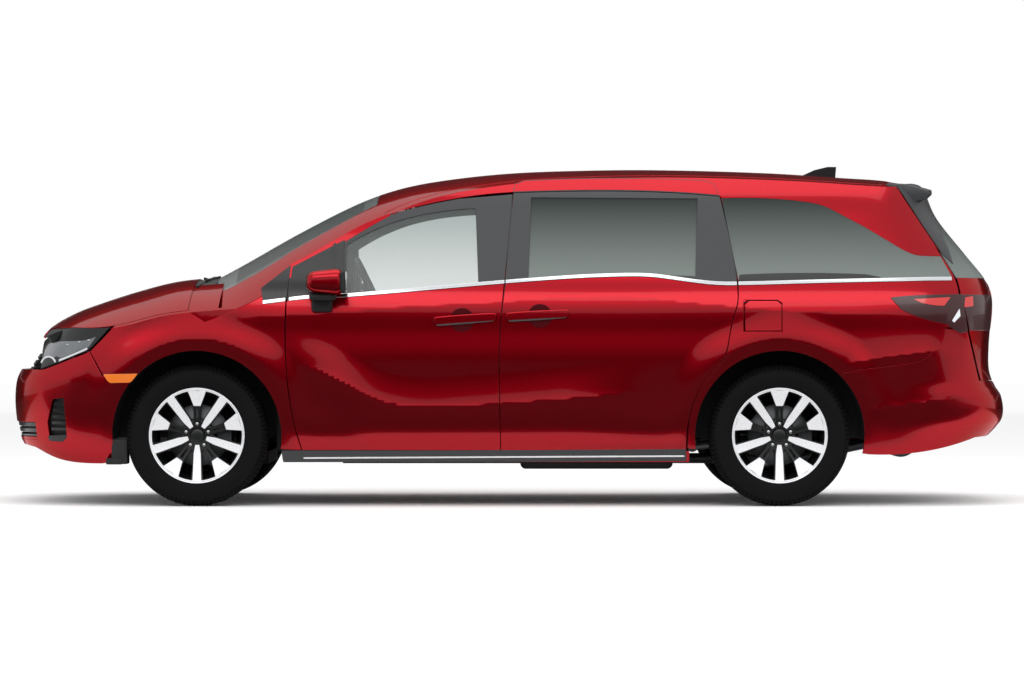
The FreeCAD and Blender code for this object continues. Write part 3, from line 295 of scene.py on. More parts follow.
class Side(Surface):
    """The body's left side, unrolled from the nose round to the tail; u runs rearwards, v is the height."""

    def __init__(self, relief: Deck | None = None) -> None:
        """Measure both rounded corners along their curves.

        Args:
            relief: How far the creased side stands out at (x, z), if it is creased.
        """
        self.relief = relief
        share = 1 - (1 - np.linspace(0, 1, 4001)) ** 3
        self.corners = {}
        for key, squareness, reach in (("nose", NOSE_SQUARE, -CORNER - NOSE),
                                       ("tail", TAIL_SQUARE, TAIL - CORNER)):
            x = share * reach
            y = HALF * np.maximum(1 - share**squareness, 0) ** (1 / squareness)
            arc = np.concatenate([[0], np.cumsum(np.hypot(np.diff(x), np.diff(y)))])
            self.corners[key] = (share, arc, squareness)

    def flatten(self, points: np.ndarray) -> np.ndarray:
        """Side-view points on the unrolled side."""
        return np.stack([self.flat(points[:, 0], points[:, 1]), points[:, 1]], 1)

    def flat(self, x: np.ndarray, z: np.ndarray) -> np.ndarray:
        """Unrolled position u of side-view points.

        Args:
            x: Positions along the vehicle.
            z: Heights.

        Returns:
            The position of each point along the unrolled side.
        """
        x, z = np.asarray(x, float), np.asarray(z, float)
        past = np.clip((-CORNER - x) / (-CORNER - along(NOSE_LINE, z)), 0, 1)
        front = -CORNER - np.interp(past, *self.corners["nose"][:2])
        past = np.clip((x - CORNER) / (along(TAIL_LINE, z) - CORNER), 0, 1)
        rear = CORNER + np.interp(past, *self.corners["tail"][:2])
        return np.where(x < -CORNER, front, np.where(x > CORNER, rear, x))

    def ends(self) -> tuple[float, float]:
        """Unrolled positions of the middle of the nose and of the tail."""
        return -CORNER - self.corners["nose"][1][-1], CORNER + self.corners["tail"][1][-1]

    def base(self, u: np.ndarray, v: np.ndarray) -> np.ndarray:
        """Points of the plain surface without its creases.

        Args:
            u: Positions along the unrolled side, which may pass the middle of the nose or tail.
            v: Heights.

        Returns:
            One point a row.
        """
        half = along(SECTION, v)
        out = np.empty((len(u), 3))
        out[:, 0], out[:, 1], out[:, 2] = u, -half, v
        for key, sign, line in (("nose", -1, NOSE_LINE), ("tail", 1, TAIL_LINE)):
            share, arc, squareness = self.corners[key]
            away = sign * u - CORNER
            m = away > 0
            beyond = away[m] > arc[-1]
            t = np.interp(np.where(beyond, 2 * arc[-1] - away[m], away[m]), arc, share)
            reach = np.abs(along(line, v[m])) - CORNER
            width = half[m] * np.maximum(1 - t**squareness, 0) ** (1 / squareness)
            out[m, 0] = sign * (CORNER + reach * t)
            out[m, 1] = np.where(beyond, width, -width)
        return out

    def end_at(self, key: str, y: float, z: float) -> float:
        """Unrolled position of a point of the nose or the tail.

        Args:
            key: "nose" or "tail".
            y: Distance from the middle.
            z: Height.

        Returns:
            The position along the unrolled side.
        """
        share, arc, squareness = self.corners[key]
        t = max(1 - (abs(y) / float(along(SECTION, np.array([z]))[0])) ** squareness, 0) ** (1 / squareness)
        return (-1 if key == "nose" else 1) * (CORNER + float(np.interp(t, share, arc)))

    def meets(self, deck: Deck, u: np.ndarray) -> np.ndarray:
        """Height at which the side meets a deck.

        Args:
            deck: Height of the deck over (x, y).
            u: Positions along the unrolled side.

        Returns:
            The height at each position.
        """
        low, high = np.full(len(u), MEET_LOW), np.full(len(u), MEET_HIGH)
        for _ in range(MEET_STEPS):
            middle = (low + high) / 2
            spot = self.base(u, middle)
            under = deck(spot[:, 0], spot[:, 1]) > middle
            low, high = np.where(under, middle, low), np.where(under, high, middle)
        return low

    def rest(self, u: np.ndarray, v: np.ndarray) -> np.ndarray:
        """Points of the surface with its creases.

        Args:
            u: Positions along the unrolled side.
            v: Heights.

        Returns:
            One point a row.
        """
        u, v = np.asarray(u, float), np.asarray(v, float)
        points = self.base(u, v)
        if self.relief is None:
            return points
        d = NORMAL_STEP
        n = np.cross(self.base(u + d, v) - self.base(u - d, v), self.base(u, v + d) - self.base(u, v - d))
        n /= np.maximum(np.linalg.norm(n, axis=1, keepdims=True), 1e-9)
        return points + n * self.relief(points[:, 0], v)[:, None]


class Plan(Surface):
    """Hood or roof for sheets across the middle: u is the distance to the right, v runs forwards."""

    def __init__(self, height: Deck) -> None:
        """Keep the height of the deck over (x, y)."""
        self.height = height

    def flatten(self, points: np.ndarray) -> np.ndarray:
        """Plan points (x, y) on the flat sheet."""
        return np.stack([points[:, 1], -points[:, 0]], 1)

    def rest(self, u: np.ndarray, v: np.ndarray) -> np.ndarray:
        """Points of the deck."""
        u, v = np.asarray(u, float), np.asarray(v, float)
        return np.stack([-v, u, self.height(-v, u)], 1)


def hood_height(x: np.ndarray, y: np.ndarray) -> np.ndarray:
    """Height of the hood's surface."""
    return along(HOOD_LINE, x) - along(HOOD_FALL, x) * (np.abs(y) / HOOD_HALF) ** HOOD_POWER


def roof_height(x: np.ndarray, y: np.ndarray) -> np.ndarray:
    """Height of the windscreen's and the roof's surface."""
    middle = along(ROOF_LINE, x - ROOF_SWEEP * (y / ROOF_SWEEP_HALF) ** 2)
    return middle - ROOF_CROWN * (y / ROOF_CROWN_HALF) ** 2


# Creases of the side, in side view

BELT = [(-1266, 1048), (-1008, 1077), (-810, 1086), (0, 1155), (310, 1178), (495, 1187), (680, 1190),
        (775, 1183), (910, 1164), (1040, 1148), (1180, 1145), (1600, 1156), (2290, 1172)]
SHOULDER = [(-1180, 980), (-920, 996), (-445, 1028), (-50, 1051), (310, 1080), (590, 1087), (690, 1082),
            (910, 1051), (1170, 1023), (1500, 1000), (2000, 985)]
PILLAR_FOOT = [(-1541, 1090), (-1426, 1138), (-1311, 1202), (-1196, 1274), (-1119, 1327)]
TAIL_CREST = [(1740, 740), (2178, 799)]
TAIL_FOLD = [(1853, 500), (2214, 544)]
SWOOSH = [(-1150, 765), (-925, 676), (-757, 588), (-650, 540), (-550, 520), (-420, 512), (-230, 519),
          (-45, 529), (186, 545), (470, 568), (700, 600), (950, 640)]
FLANGE = [(-1500, 385), (-600, 388), (200, 392), (950, 402)]


def ease(t: np.ndarray) -> np.ndarray:
    """Smooth step from 0 to 1."""
    t = np.clip(t, 0, 1)
    return t * t * (3 - 2 * t)


def sharp(reach: float) -> Callable[[np.ndarray], np.ndarray]:
    """Fading away from a crease that falls at once."""
    return lambda away: np.exp(-away / reach)


def soft(reach: float) -> Callable[[np.ndarray], np.ndarray]:
    """Fading away from a crease that starts level."""
    return lambda away: 1 - ease(away / reach)


@dataclass(frozen=True)
class Crease:
    """A fold along a line of the side: its height, where it fades in and out, and its fall on both sides."""

    line: Points
    height: float
    start: tuple[float, float]
    stop: tuple[float, float]
    above: Callable[[np.ndarray], np.ndarray]
    below: Callable[[np.ndarray], np.ndarray]

    def relief(self, x: np.ndarray, z: np.ndarray) -> np.ndarray:
        """How far the crease stands out.

        Args:
            x: Positions along the vehicle.
            z: Heights.

        Returns:
            The relief at each point.
        """
        over = z - along(self.line, x)
        fade = ease((x - self.start[0]) / self.start[1]) * (1 - ease((x - self.stop[0]) / self.stop[1]))
        away = np.abs(over)
        return self.height * fade * np.where(over > 0, self.above(away), self.below(away))


CREASES = (
    Crease(SHOULDER, 5.0, (-1500, 350), (1700, 500), sharp(90), sharp(160)),
    Crease(SWOOSH, 19.0, (-1150, 300), (250, 650), lambda away: 0.5 * sharp(45)(away) + 0.5 * soft(170)(away),
           soft(260)),
    Crease(FLANGE, 7.0, (-1180, 120), (850, 120), soft(150), soft(95)),
    Crease(TAIL_CREST, 6.0, (1720, 90), (2140, 130), sharp(60), sharp(130)),
    Crease(TAIL_FOLD, 7.0, (1800, 90), (2190, 120), sharp(45), sharp(110)),
)
FLARE = 493.0
FLARE_START = ARCH - 25
FLARE_HEIGHT, FLARE_FADE = 11.0, 150
FLARE_FOOT, FLARE_RISE = 330, 260


def creases(x: np.ndarray, z: np.ndarray) -> np.ndarray:
    """How far the creased side, with its flared arches, stands out of the plain one.

    Args:
        x: Positions along the vehicle.
        z: Heights.

    Returns:
        The relief at each point.
    """
    total = sum(crease.relief(x, z) for crease in CREASES)
    for axle in (FRONT_AXLE, REAR_AXLE):
        out = np.hypot(x - axle, z - HUB)
        ring = np.where(out > FLARE, 1 - ease((out - FLARE) / FLARE_FADE),
                        np.clip((out - FLARE_START) / (FLARE - FLARE_START), 0, 1))
        total += FLARE_HEIGHT * ring * ease((z - FLARE_FOOT) / FLARE_RISE)
    return total


SIDE = Side(creases)
PLAIN_SIDE = Side()
HOOD_PLAN = Plan(hood_height)
ROOF_PLAN = Plan(roof_height)


# Sheet metal


def curve_through(points: Points, step: float = 8.0) -> np.ndarray:
    """Smooth run through the points (not-a-knot cubic), or the straight line of two.

    Args:
        points: Points of the run.
        step: Distance between the points that come back.

    Returns:
        Dense points of the run.
    """
    p = np.array(points, float)
    if len(p) == 1:
        return p
    chord = np.concatenate([[0], np.cumsum(np.linalg.norm(np.diff(p, axis=0), axis=1))])
    if len(p) < 4:
        dense = np.linspace(0, chord[-1], max(2, int(chord[-1] / step)))
        if len(p) == 2:
            return np.stack([np.interp(dense, chord, p[:, k]) for k in (0, 1)], 1)
        fit = [np.polyfit(chord, p[:, k], 2) for k in (0, 1)]
        return np.stack([np.polyval(f, dense) for f in fit], 1)
    n = len(p)
    h = np.diff(chord)
    system = np.zeros((n, n))
    right = np.zeros((n, 2))
    system[0, :3] = [h[1], -(h[0] + h[1]), h[0]]
    system[-1, -3:] = [h[-1], -(h[-2] + h[-1]), h[-2]]
    for i in range(1, n - 1):
        system[i, i - 1:i + 2] = [h[i - 1], 2 * (h[i - 1] + h[i]), h[i]]
        right[i] = 6 * ((p[i + 1] - p[i]) / h[i] - (p[i] - p[i - 1]) / h[i - 1])
    bend = np.linalg.solve(system, right)
    dense = np.linspace(0, chord[-1], max(2, int(chord[-1] / step)))
    i = np.clip(np.searchsorted(chord, dense, side="right") - 1, 0, n - 2)
    a = (chord[i + 1] - dense)[:, None]
    b = (dense - chord[i])[:, None]
    hi = h[i][:, None]
    return (bend[i] * a**3 / (6 * hi) + bend[i + 1] * b**3 / (6 * hi)
            + (p[i] / hi - bend[i] * hi / 6) * a + (p[i + 1] / hi - bend[i + 1] * hi / 6) * b)


@dataclass
class Outline:
    """Closed outline of runs; a run of two points is straight, more are smooth."""

    runs: list[Points]

    def polygon(self, surface: Surface) -> tuple[np.ndarray, np.ndarray]:
        """Dense closed polygon and its corners.

        Args:
            surface: The surface whose flat sheet they come to lie on.

        Returns:
            Points of the polygon, and its corners.
        """
        parts, corners = [], []
        for k, run in enumerate(self.runs):
            dense = curve_through(run)
            following = np.array(self.runs[(k + 1) % len(self.runs)][0], float)
            corners.append(dense[0])
            if len(dense) > 1:
                corners.append(dense[-1])
            parts.append(dense)
            gap = np.linalg.norm(following - dense[-1])
            if gap > 8:
                parts.append(curve_through([tuple(dense[-1]), tuple(following)])[1:-1])
        points = np.concatenate(parts)
        keep = np.linalg.norm(points - np.roll(points, 1, axis=0), axis=1) > 0.05
        return surface.flatten(points[keep]), surface.flatten(np.array(corners))


def inside(points: np.ndarray, polygon: np.ndarray) -> np.ndarray:
    """Which points lie in the polygon.

    Args:
        points: Points of the flat sheet, one a row.
        polygon: Corners of the closed polygon.

    Returns:
        True for each point that lies inside.
    """
    result = np.zeros(len(points), bool)
    ends = np.roll(polygon, -1, axis=0)
    for (ax, az), (bx, bz) in zip(polygon, ends):
        if az == bz:
            continue
        crosses = (points[:, 1] < max(az, bz)) & (points[:, 1] >= min(az, bz))
        result ^= crosses & (points[:, 0] < ax + (points[:, 1] - az) * (bx - ax) / (bz - az))
    return result


def nearest(points: np.ndarray, polygon: np.ndarray) -> np.ndarray:
    """Closest place on the polygon for each point.

    Args:
        points: Points of the flat sheet, one a row.
        polygon: Corners of the closed polygon.

    Returns:
        The closest places, one a row.
    """
    a, b = polygon, np.roll(polygon, -1, axis=0)
    d = b - a
    size = np.maximum((d**2).sum(1), 1e-9)
    t = np.clip(((points[:, None] - a[None]) * d[None]).sum(2) / size[None], 0, 1)
    spot = a[None] + t[..., None] * d[None]
    gap = ((points[:, None] - spot) ** 2).sum(2)
    return spot[np.arange(len(points)), gap.argmin(1)]


def outward(sheet: bmesh.types.BMesh) -> dict[bmesh.types.BMVert, Vector]:
    """Directions out of a flat sheet at its edge.

    Args:
        sheet: The flat sheet.

    Returns:
        The direction at each vertex of the edge, of any length.
    """
    found = {}
    for vertex in sheet.verts:
        for edge in vertex.link_edges:
            if edge.is_boundary:
                along_edge = edge.other_vert(vertex).co - vertex.co
                side = Vector((along_edge.y, -along_edge.x, 0)).normalized()
                centre = edge.link_faces[0].calc_center_median() - vertex.co
                found.setdefault(vertex, Vector((0, 0, 0)))
                found[vertex] += side if side.dot(centre) < 0 else -side
    return found


@dataclass
class Sheet:
    """A trimmed sheet over a surface, with a rolled edge; across doubles it over a middle line at that u."""

    surface: Surface
    outline: Outline
    holes: list[Outline] = field(default_factory=list)
    step: float = 12.0
    lift: float = 1.5
    depth: float = 12.0
    roll: float = 1.5
    across: float | None = None

    def on_middle(self, points: np.ndarray) -> np.ndarray:
        """Which points lie on the middle line."""
        return np.abs(points[:, 0] - self.across) < MIDDLE_NEAR

    def twin(self, points: np.ndarray) -> np.ndarray:
        """The points mirrored over the middle line."""
        return np.stack([2 * self.across - points[:, 0], points[:, 1]], 1)

    def loops(self) -> tuple[list[np.ndarray], list[np.ndarray]]:
        """Polygons and corners of the outline and its holes, doubled over the middle where asked.

        Returns:
            The closed polygons, the outline's first, and the corners of each.
        """
        polygons, corners = [], []
        for outline in [self.outline, *self.holes]:
            polygon, corner = outline.polygon(self.surface)
            if self.across is not None:
                on_middle = self.on_middle(polygon)
                if on_middle.any():
                    start = int(np.flatnonzero(on_middle & ~np.roll(on_middle, -1))[0])
                    polygon = np.roll(polygon, -start, axis=0)
                    on_middle = self.on_middle(polygon)
                    stop = int(np.flatnonzero(~on_middle & np.roll(on_middle, -1))[0]) + 2
                    half = polygon[:stop]
                    polygons.append(np.concatenate([half, self.twin(half)[::-1][1:-1]]))
                else:
                    polygons += [polygon, self.twin(polygon)]
                corner = corner[~self.on_middle(corner)]
                corner = np.concatenate([corner, self.twin(corner)])
            else:
                polygons.append(polygon)
            corners.append(corner)
        return polygons, corners

    def flat_mesh(self) -> bmesh.types.BMesh:
        """Trim a grid to the outline.

        Returns:
            The flat sheet, with coordinates (u, v, 0).
        """
        loops, corner_sets = self.loops()
        low, high = loops[0].min(0), loops[0].max(0)
        count = np.maximum(np.ceil((high - low) / self.step).astype(int), 2)
        sheet = bmesh.new()
        bmesh.ops.create_grid(sheet, x_segments=int(count[0]), y_segments=int(count[1]), size=0.5)
        span = high - low
        middle = (high + low) / 2
        bmesh.ops.transform(sheet, matrix=Matrix.Translation((middle[0], middle[1], 0))
                            @ Matrix.Diagonal((span[0], span[1], 1, 1)), verts=sheet.verts)
        centres = np.array([f.calc_center_median()[:2] for f in sheet.faces])
        keep = inside(centres, loops[0])
        for loop in loops[1:]:
            keep &= ~inside(centres, loop)
        bmesh.ops.delete(sheet, geom=[f for f, k in zip(list(sheet.faces), keep) if not k], context="FACES")
        pinched = [v for v in sheet.verts if sum(e.is_boundary for e in v.link_edges) > 2]
        bmesh.ops.delete(sheet, geom=list({f for v in pinched for f in v.link_faces}), context="FACES")
        border = [v for v in sheet.verts if v.is_boundary]
        places = np.array([v.co[:2] for v in border])
        spots = [nearest(places, loop) for loop in loops]
        chosen = np.stack([np.linalg.norm(spot - places, axis=1) for spot in spots], 1).argmin(1)
        for i, vertex in enumerate(border):
            vertex.co.x, vertex.co.y = spots[chosen[i]][i]
        for corner in np.concatenate(corner_sets):
            gap = np.linalg.norm(np.array([v.co[:2] for v in border]) - corner, axis=1)
            if gap.min() < self.step:
                closest = border[int(gap.argmin())]
                closest.co.x, closest.co.y = corner
        return sheet

    def build(self, mirror: bool = False) -> bmesh.types.BMesh:
        """Wrap the trimmed sheet over the surface, in metres, with its normals in a layer.

        Args:
            mirror: Whether it comes out on the right.

        Returns:
            The sheet with its rolled edge.
        """
        sheet = self.flat_mesh()
        turn = sheet.verts.layers.float.new("turn")
        edge_u = sheet.verts.layers.float.new("edge_u")
        edge_v = sheet.verts.layers.float.new("edge_v")
        shade = sheet.verts.layers.float_vector.new("shade")
        for vertex, direction in outward(sheet).items():
            direction = direction.normalized()
            vertex[edge_u], vertex[edge_v] = direction.x, direction.y
        ring = [e for e in sheet.edges if e.is_boundary]
        for out, sink, lean in ((0.65 * self.roll, 0.35 * self.roll, 0.5),
                                (0.35 * self.roll, 0.65 * self.roll, 1.0), (0.0, self.depth, 1.0)):
            made = bmesh.ops.extrude_edge_only(sheet, edges=ring)["geom"]
            ring = [g for g in made if isinstance(g, bmesh.types.BMEdge)
                    and all(len(v.link_edges) < 4 or v.is_boundary for v in g.verts) and g.is_boundary]
            for vertex in [g for g in made if isinstance(g, bmesh.types.BMVert)]:
                vertex.co.x += out * vertex[edge_u]
                vertex.co.y += out * vertex[edge_v]
                vertex.co.z -= sink
                vertex[turn] = lean
        u = np.array([v.co.x for v in sheet.verts])
        v = np.array([v.co.y for v in sheet.verts])
        sunk = np.array([v.co.z for v in sheet.verts]) + self.lift
        lean = np.array([p[turn] for p in sheet.verts]) * math.pi / 2
        eu = np.array([p[edge_u] for p in sheet.verts])
        ev = np.array([p[edge_v] for p in sheet.verts])
        n = self.surface.normals(u, v)
        place = self.surface.rest(u, v) + n * sunk[:, None]
        away = self.surface.rest(u + eu, v + ev) - self.surface.rest(u - eu, v - ev)
        away /= np.maximum(np.linalg.norm(away, axis=1, keepdims=True), 1e-9)
        shading = n * np.cos(lean)[:, None] + away * np.sin(lean)[:, None]
        if mirror:
            place[:, 1] *= -1
            shading[:, 1] *= -1
            bmesh.ops.reverse_faces(sheet, faces=sheet.faces)
        for k, vertex in enumerate(sheet.verts):
            vertex.co = place[k] * MM
            vertex[shade] = shading[k]
        return sheet

    def both(self) -> list[bmesh.types.BMesh]:
        """The sheet on the left and on the right."""
        return [self.build(), self.build(True)]


def panel(*runs: Points, holes: Sequence[Outline] = (), **sizes: float) -> Sheet:
    """Sheet on the side of the body.

    Args:
        runs: Runs of its outline, in side view.
        holes: Outlines of its holes.
        sizes: Sizes of the sheet that differ from the usual ones.

    Returns:
        The sheet.
    """
    return Sheet(SIDE, Outline(list(runs)), list(holes), **sizes)


def piece(name: str, parts: Iterable[bmesh.types.BMesh | Sheet], finish: Finish,
          body: Body | str = Body.SHELL) -> bpy.types.Object:
    """Join the parts as one object that rides on a body.

    Args:
        name: Name of the piece.
        parts: Sheets, or meshes in metres, in the vehicle's frame.
        finish: Its finish.
        body: The body it rides on.

    Returns:
        The new object.
    """
    mesh = bpy.data.meshes.new(name)
    joined = bmesh.new()
    joined.verts.layers.float_vector.new("shade")
    for part in parts:
        if isinstance(part, Sheet):
            part = part.build()
        if "shade" not in part.verts.layers.float_vector:
            part.verts.layers.float_vector.new("shade")
        scratch = bpy.data.meshes.new("scratch")
        part.to_mesh(scratch)
        joined.from_mesh(scratch)
        bpy.data.meshes.remove(scratch)
        part.free()
    joined.to_mesh(mesh)
    shade = joined.verts.layers.float_vector["shade"]
    shading = [tuple(v[shade]) for v in joined.verts]
    joined.free()
    mesh.polygons.foreach_set("use_smooth", [True] * len(mesh.polygons))
    if any(any(abs(c) > 0 for c in s) for s in shading):
        mesh.normals_split_custom_set_from_vertices(shading)
    obj = bpy.data.objects.new(name, mesh)
    bpy.context.scene.collection.objects.link(obj)
    mesh.materials.append(finish.material())
    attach(obj, body.value if isinstance(body, Body) else body)
    LOG.info("%s: %d faces", name, len(mesh.polygons))
    return obj


def shifted(points: Points, dx: float, dz: float = 0.0) -> Run:
    """The points moved in side view."""
    return [(x + dx, z + dz) for x, z in points]


def part_of(line: Points, start: float, stop: float, dz: float = 0.0, count: int = 12) -> Run:
    """Points of a line of the side between two x positions."""
    xs = np.linspace(start, stop, count)
    return [(float(x), float(z) + dz) for x, z in zip(xs, along(line, xs))]


def arch_run(axle: float, start: float, stop: float, radius: float = ARCH, count: int = 24) -> Run:
    """Points of a wheel arch between two angles in degrees, 0 forwards and 90 up."""
    return [(axle - radius * math.cos(math.radians(a)), HUB + radius * math.sin(math.radians(a)))
            for a in np.linspace(start, stop, count)]


SILL = 290.0
DOOR_FRONT = [(-1119, 1241), (-1127, 1170), (-1140, 1048), (-1141, 745), (-1120, 534), (-1089, 387),
              (-1062, SILL)]
DOOR_REAR = [(-17, 1160), (-38, 955), (-45, 744), (-43, 534), (-38, SILL)]
DOOR_REAR_UPPER = [(23, 1610), (-17, 1160)]
SLIDER_REAR = [(1176, 1140), (1176, 1087), (1168, 1023), (1149, 959), (1128, 856), (1106, 770), (1066, 711),
               (994, 626), (948, 542), (922, 449), (912, SILL)]
SLIDER_REAR_UPPER = [(1094, 1590), (1140, 1380), (1176, 1145)]
RAIL_FRONT = [(-1119, 1247), (-904, 1367), (-689, 1480), (-466, 1549), (-258, 1592), (26, 1623)]
RAIL_REAR = [(26, 1623), (500, 1632), (780, 1626), (1093, 1604)]
FRONT_GLASS = [[(-838, 1345), (-689, 1428), (-518, 1489), (-346, 1523), (-170, 1538)],
               [(-155, 1150), (-500, 1118), (-838, 1088)]]
SLIDER_GLASS = [[(115, 1596), (980, 1590)], [(963, 1182), (500, 1186), (99, 1160)]]
QUARTER_GLASS_TOP = [(1104, 1592), (1353, 1590), (1518, 1575), (1641, 1547), (1722, 1505), (1826, 1449),
                     (1929, 1387), (2008, 1340), (2080, 1304), (2150, 1292), (2236, 1290)]
LAMP_LOW = [(-2125, 832), (-2159, 802), (-2228, 773), (-2311, 742), (-2415, 706)]
REAR_LAMP = [[(1962, 1072), (2150, 1086), (2300, 1092)],
             [(2316, 930), (2190, 950), (2087, 979), (2015, 1012)]]
GATE_SIDE = [(2017, 1660), (2242, 1296), (2311, 1179), (2330, 1092), (2376, 902), (2443, 650)]
BUMPER_REAR_TOP = [(2251, 915), (2182, 806), (2161, 774), (2092, 743), (1844, 709), (1727, 688)]
STRIP = 8.0
FIRST_GUESS = 900.0
ARC_POINTS = 16
PILLAR_TOP, COWL_FLAT = -1119, -1560.0
MIRROR_SQUEEZE, MIRROR_HIGH = 0.72, 1152
SKIN_LIFT = 1.6
PHOTO_SCALE, PHOTO_MIDDLE = 5.372, (512.0, 341.5)
CAMERA_BACK, CAMERA_X, CAMERA_HIGH = 22600.0, 17.0, 848.0


def back(points: Points) -> Run:
    """The points in the other order."""
    return list(reversed(points))


def deck_meeting(deck: Deck, start: float, stop: float, count: int) -> tuple[np.ndarray, np.ndarray]:
    """Where a deck meets the left side.

    Args:
        deck: Height of the deck over (x, y).
        start: First x.
        stop: Last x.
        count: How many points.

    Returns:
        Positions x and heights z of the points.
    """
    x = np.linspace(start, stop, count)
    u = PLAIN_SIDE.flat(x, np.full(count, FIRST_GUESS))
    for _ in range(6):
        z = PLAIN_SIDE.meets(deck, u)
        u = PLAIN_SIDE.flat(x, z)
    return x, z


def deck_edge(deck: Deck, start: float, stop: float, inset: float,
              count: int = 30) -> Run:
    """Plan points (x, y) where a deck meets the left side.

    Args:
        deck: Height of the deck over (x, y).
        start: First x.
        stop: Last x.
        inset: How far the points lie inside the meeting line.
        count: How many points.

    Returns:
        The points.
    """
    x, z = deck_meeting(deck, start, stop, count)
    spot = PLAIN_SIDE.base(PLAIN_SIDE.flat(x, z), z)
    return [(float(a), float(b) + inset) for a, b in spot[:, :2]]


def side_edge(deck: Deck, start: float, stop: float, drop: float,
              count: int = 30) -> Run:
    """Side-view points (x, z) where a deck meets the left side.

    Args:
        deck: Height of the deck over (x, y).
        start: First x.
        stop: Last x.
        drop: How far the points lie under the meeting line.
        count: How many points.

    Returns:
        The points.
    """
    return [(float(a), float(b) - drop) for a, b in zip(*deck_meeting(deck, start, stop, count))]


@dataclass
class SideSkins:
    """Painted and black panels of both sides, with their shut lines."""

    step: float = 14.0
    lift: float = SKIN_LIFT

    def door(self) -> Outline:
        """Red part of the front door, below the belt strip."""
        return Outline([part_of(BELT, -1137, -26, -STRIP), shifted(DOOR_REAR, -GAP - 0.5)[1:],
                        [(-1062, SILL)], back(DOOR_FRONT)[1:-2]])

    def slider(self) -> Outline:
        """Red part of the sliding door."""
        return Outline([part_of(BELT, -15, 1174, -STRIP), SLIDER_REAR[1:], [(-38, SILL)],
                        back(DOOR_REAR)[1:-1]])

    def quarter(self) -> Outline:
        """Rear quarter below the belt, round the lamp and the wheel arch.

        Returns:
            Its outline.
        """
        return Outline([
            part_of(BELT, 1183, 2292, -STRIP), [(2303, 1100)], back(REAR_LAMP[0]), back(REAR_LAMP[1]),
            [(2290, 925), (2245, 921)], shifted(BUMPER_REAR_TOP[1:], 0, GAP),
            arch_run(REAR_AXLE, 135, -9), [(922 + GAP, 298)],
            back([(1184, 1087), (1175, 1023), (1156, 959), (1135, 856), (1113, 770), (1072, 711), (1001, 626),
                  (955, 542), (929, 449)])])

    def fender(self) -> Outline:
        """Front fender from the lamp to the door, up to the hood and the windscreen.

        Returns:
            Its outline.
        """
        return Outline([
            side_edge(hood_height, -2030, -1640, 3), side_edge(roof_height, -1560, -1160, 3, 12),
            [(-1127, 1236)], shifted(DOOR_FRONT[1:], -7.5), arch_run(FRONT_AXLE, 189, 38),
            [(-2086, 680), (-2153, 796)], [(-2127, 824)]])

    def rail(self) -> Outline:
        """Cant rail and rear pillar above the glass.

        Returns:
            Its outline.
        """
        return Outline([
            side_edge(roof_height, -1150, 2000, 3, 60), [(2012, 1655), (2236, 1296)], back(QUARTER_GLASS_TOP),
            back(shifted(RAIL_REAR, 0, 1)), back(shifted(RAIL_FRONT, 0, 1))])

    def door_frame(self) -> tuple[Outline, Outline]:
        """Black frame of the front door and its window.

        Returns:
            Its outline and its hole.
        """
        frame_line = Outline([part_of(BELT, -1137, -26, STRIP - 6), shifted(back(DOOR_REAR_UPPER), -GAP),
                              shifted(back(RAIL_FRONT)[1:-1], 0, -GAP), [(-1119, 1239), (-1127, 1170)]])
        return frame_line, Outline(FRONT_GLASS)

    def slider_frame(self) -> tuple[Outline, Outline]:
        """Black frame of the sliding door and its window.

        Returns:
            Its outline and its hole.
        """
        frame_line = Outline([part_of(BELT, -15, 1174, STRIP - 6), back(SLIDER_REAR_UPPER)[:-1],
                              back(shifted(RAIL_REAR, 0, -GAP)), back(DOOR_REAR_UPPER)[:-1][:1]])
        return frame_line, Outline(SLIDER_GLASS)

    def sheet(self, outline: Outline, *holes: Outline, lift: float | None = None, step: float | None = None,
              **sizes: float) -> Sheet:
        """A side sheet with this class's sizes."""
        return Sheet(SIDE, outline, holes=list(holes), step=step or self.step,
                     lift=self.lift if lift is None else lift, **sizes)

    def slider_cut(self, grow: float) -> Outline:
        """Shut line of the sliding door's top in the roof rail, grown all round.

        Args:
            grow: How far it is grown.

        Returns:
            The outline.
        """
        line = seen([(513.9, 191), (515.7, 184.3), (524.6, 180.9), (615.7, 178.4), (705, 180.8),
                     (713.9, 184.3), (717.3, 193)], -800)
        cut = [(line[0][0] - grow, line[0][1] + grow)] + shifted(line[1:-1], 0, grow) + [
            (line[-1][0] + grow, line[-1][1])]
        return Outline([cut[:1] + cut[1:2], cut[2:5], cut[5:], back(shifted(RAIL_REAR, 0, 3 - grow))])

    def build(self) -> None:
        """Make every side panel on the left and on the right."""
        fuel_hole = Outline([[(1204, 897), (1204, 1055)], [(1212, 1062), (1383, 1062)],
                             [(1407, 1045), (1407, 897)]])
        for side, mirror, door in (("L", False, Body.DOOR_L), ("R", True, Body.DOOR_R)):
            quarter = [self.quarter()] if mirror else [self.quarter(), fuel_hole]
            for name, outlines, sizes, finish, body in (
                    ("slider_head_gap_", [self.slider_cut(3.5)], {"lift": 2.4, "step": 8}, SATIN_BLACK,
                     Body.SHELL),
                    ("slider_head_", [self.slider_cut(0)], {"lift": 3.0, "step": 8}, PAINT, Body.SHELL),
                    ("door_skin_", [self.door()], {}, PAINT, door),
                    ("slider_skin_", [self.slider()], {}, PAINT, Body.SHELL),
                    ("quarter_skin_", quarter, {"step": 10}, PAINT, Body.SHELL),
                    ("fender_skin_", [self.fender()], {}, PAINT, Body.SHELL),
                    ("rail_skin_", [self.rail()], {"step": 8}, PAINT, Body.SHELL),
                    ("door_frame_", self.door_frame(), {"lift": 0.8}, SATIN_BLACK, door),
                    ("slider_frame_", self.slider_frame(), {"lift": 0.8}, SATIN_BLACK, Body.SHELL)):
                piece(name + side, [self.sheet(*outlines, **sizes).build(mirror)], finish, body)


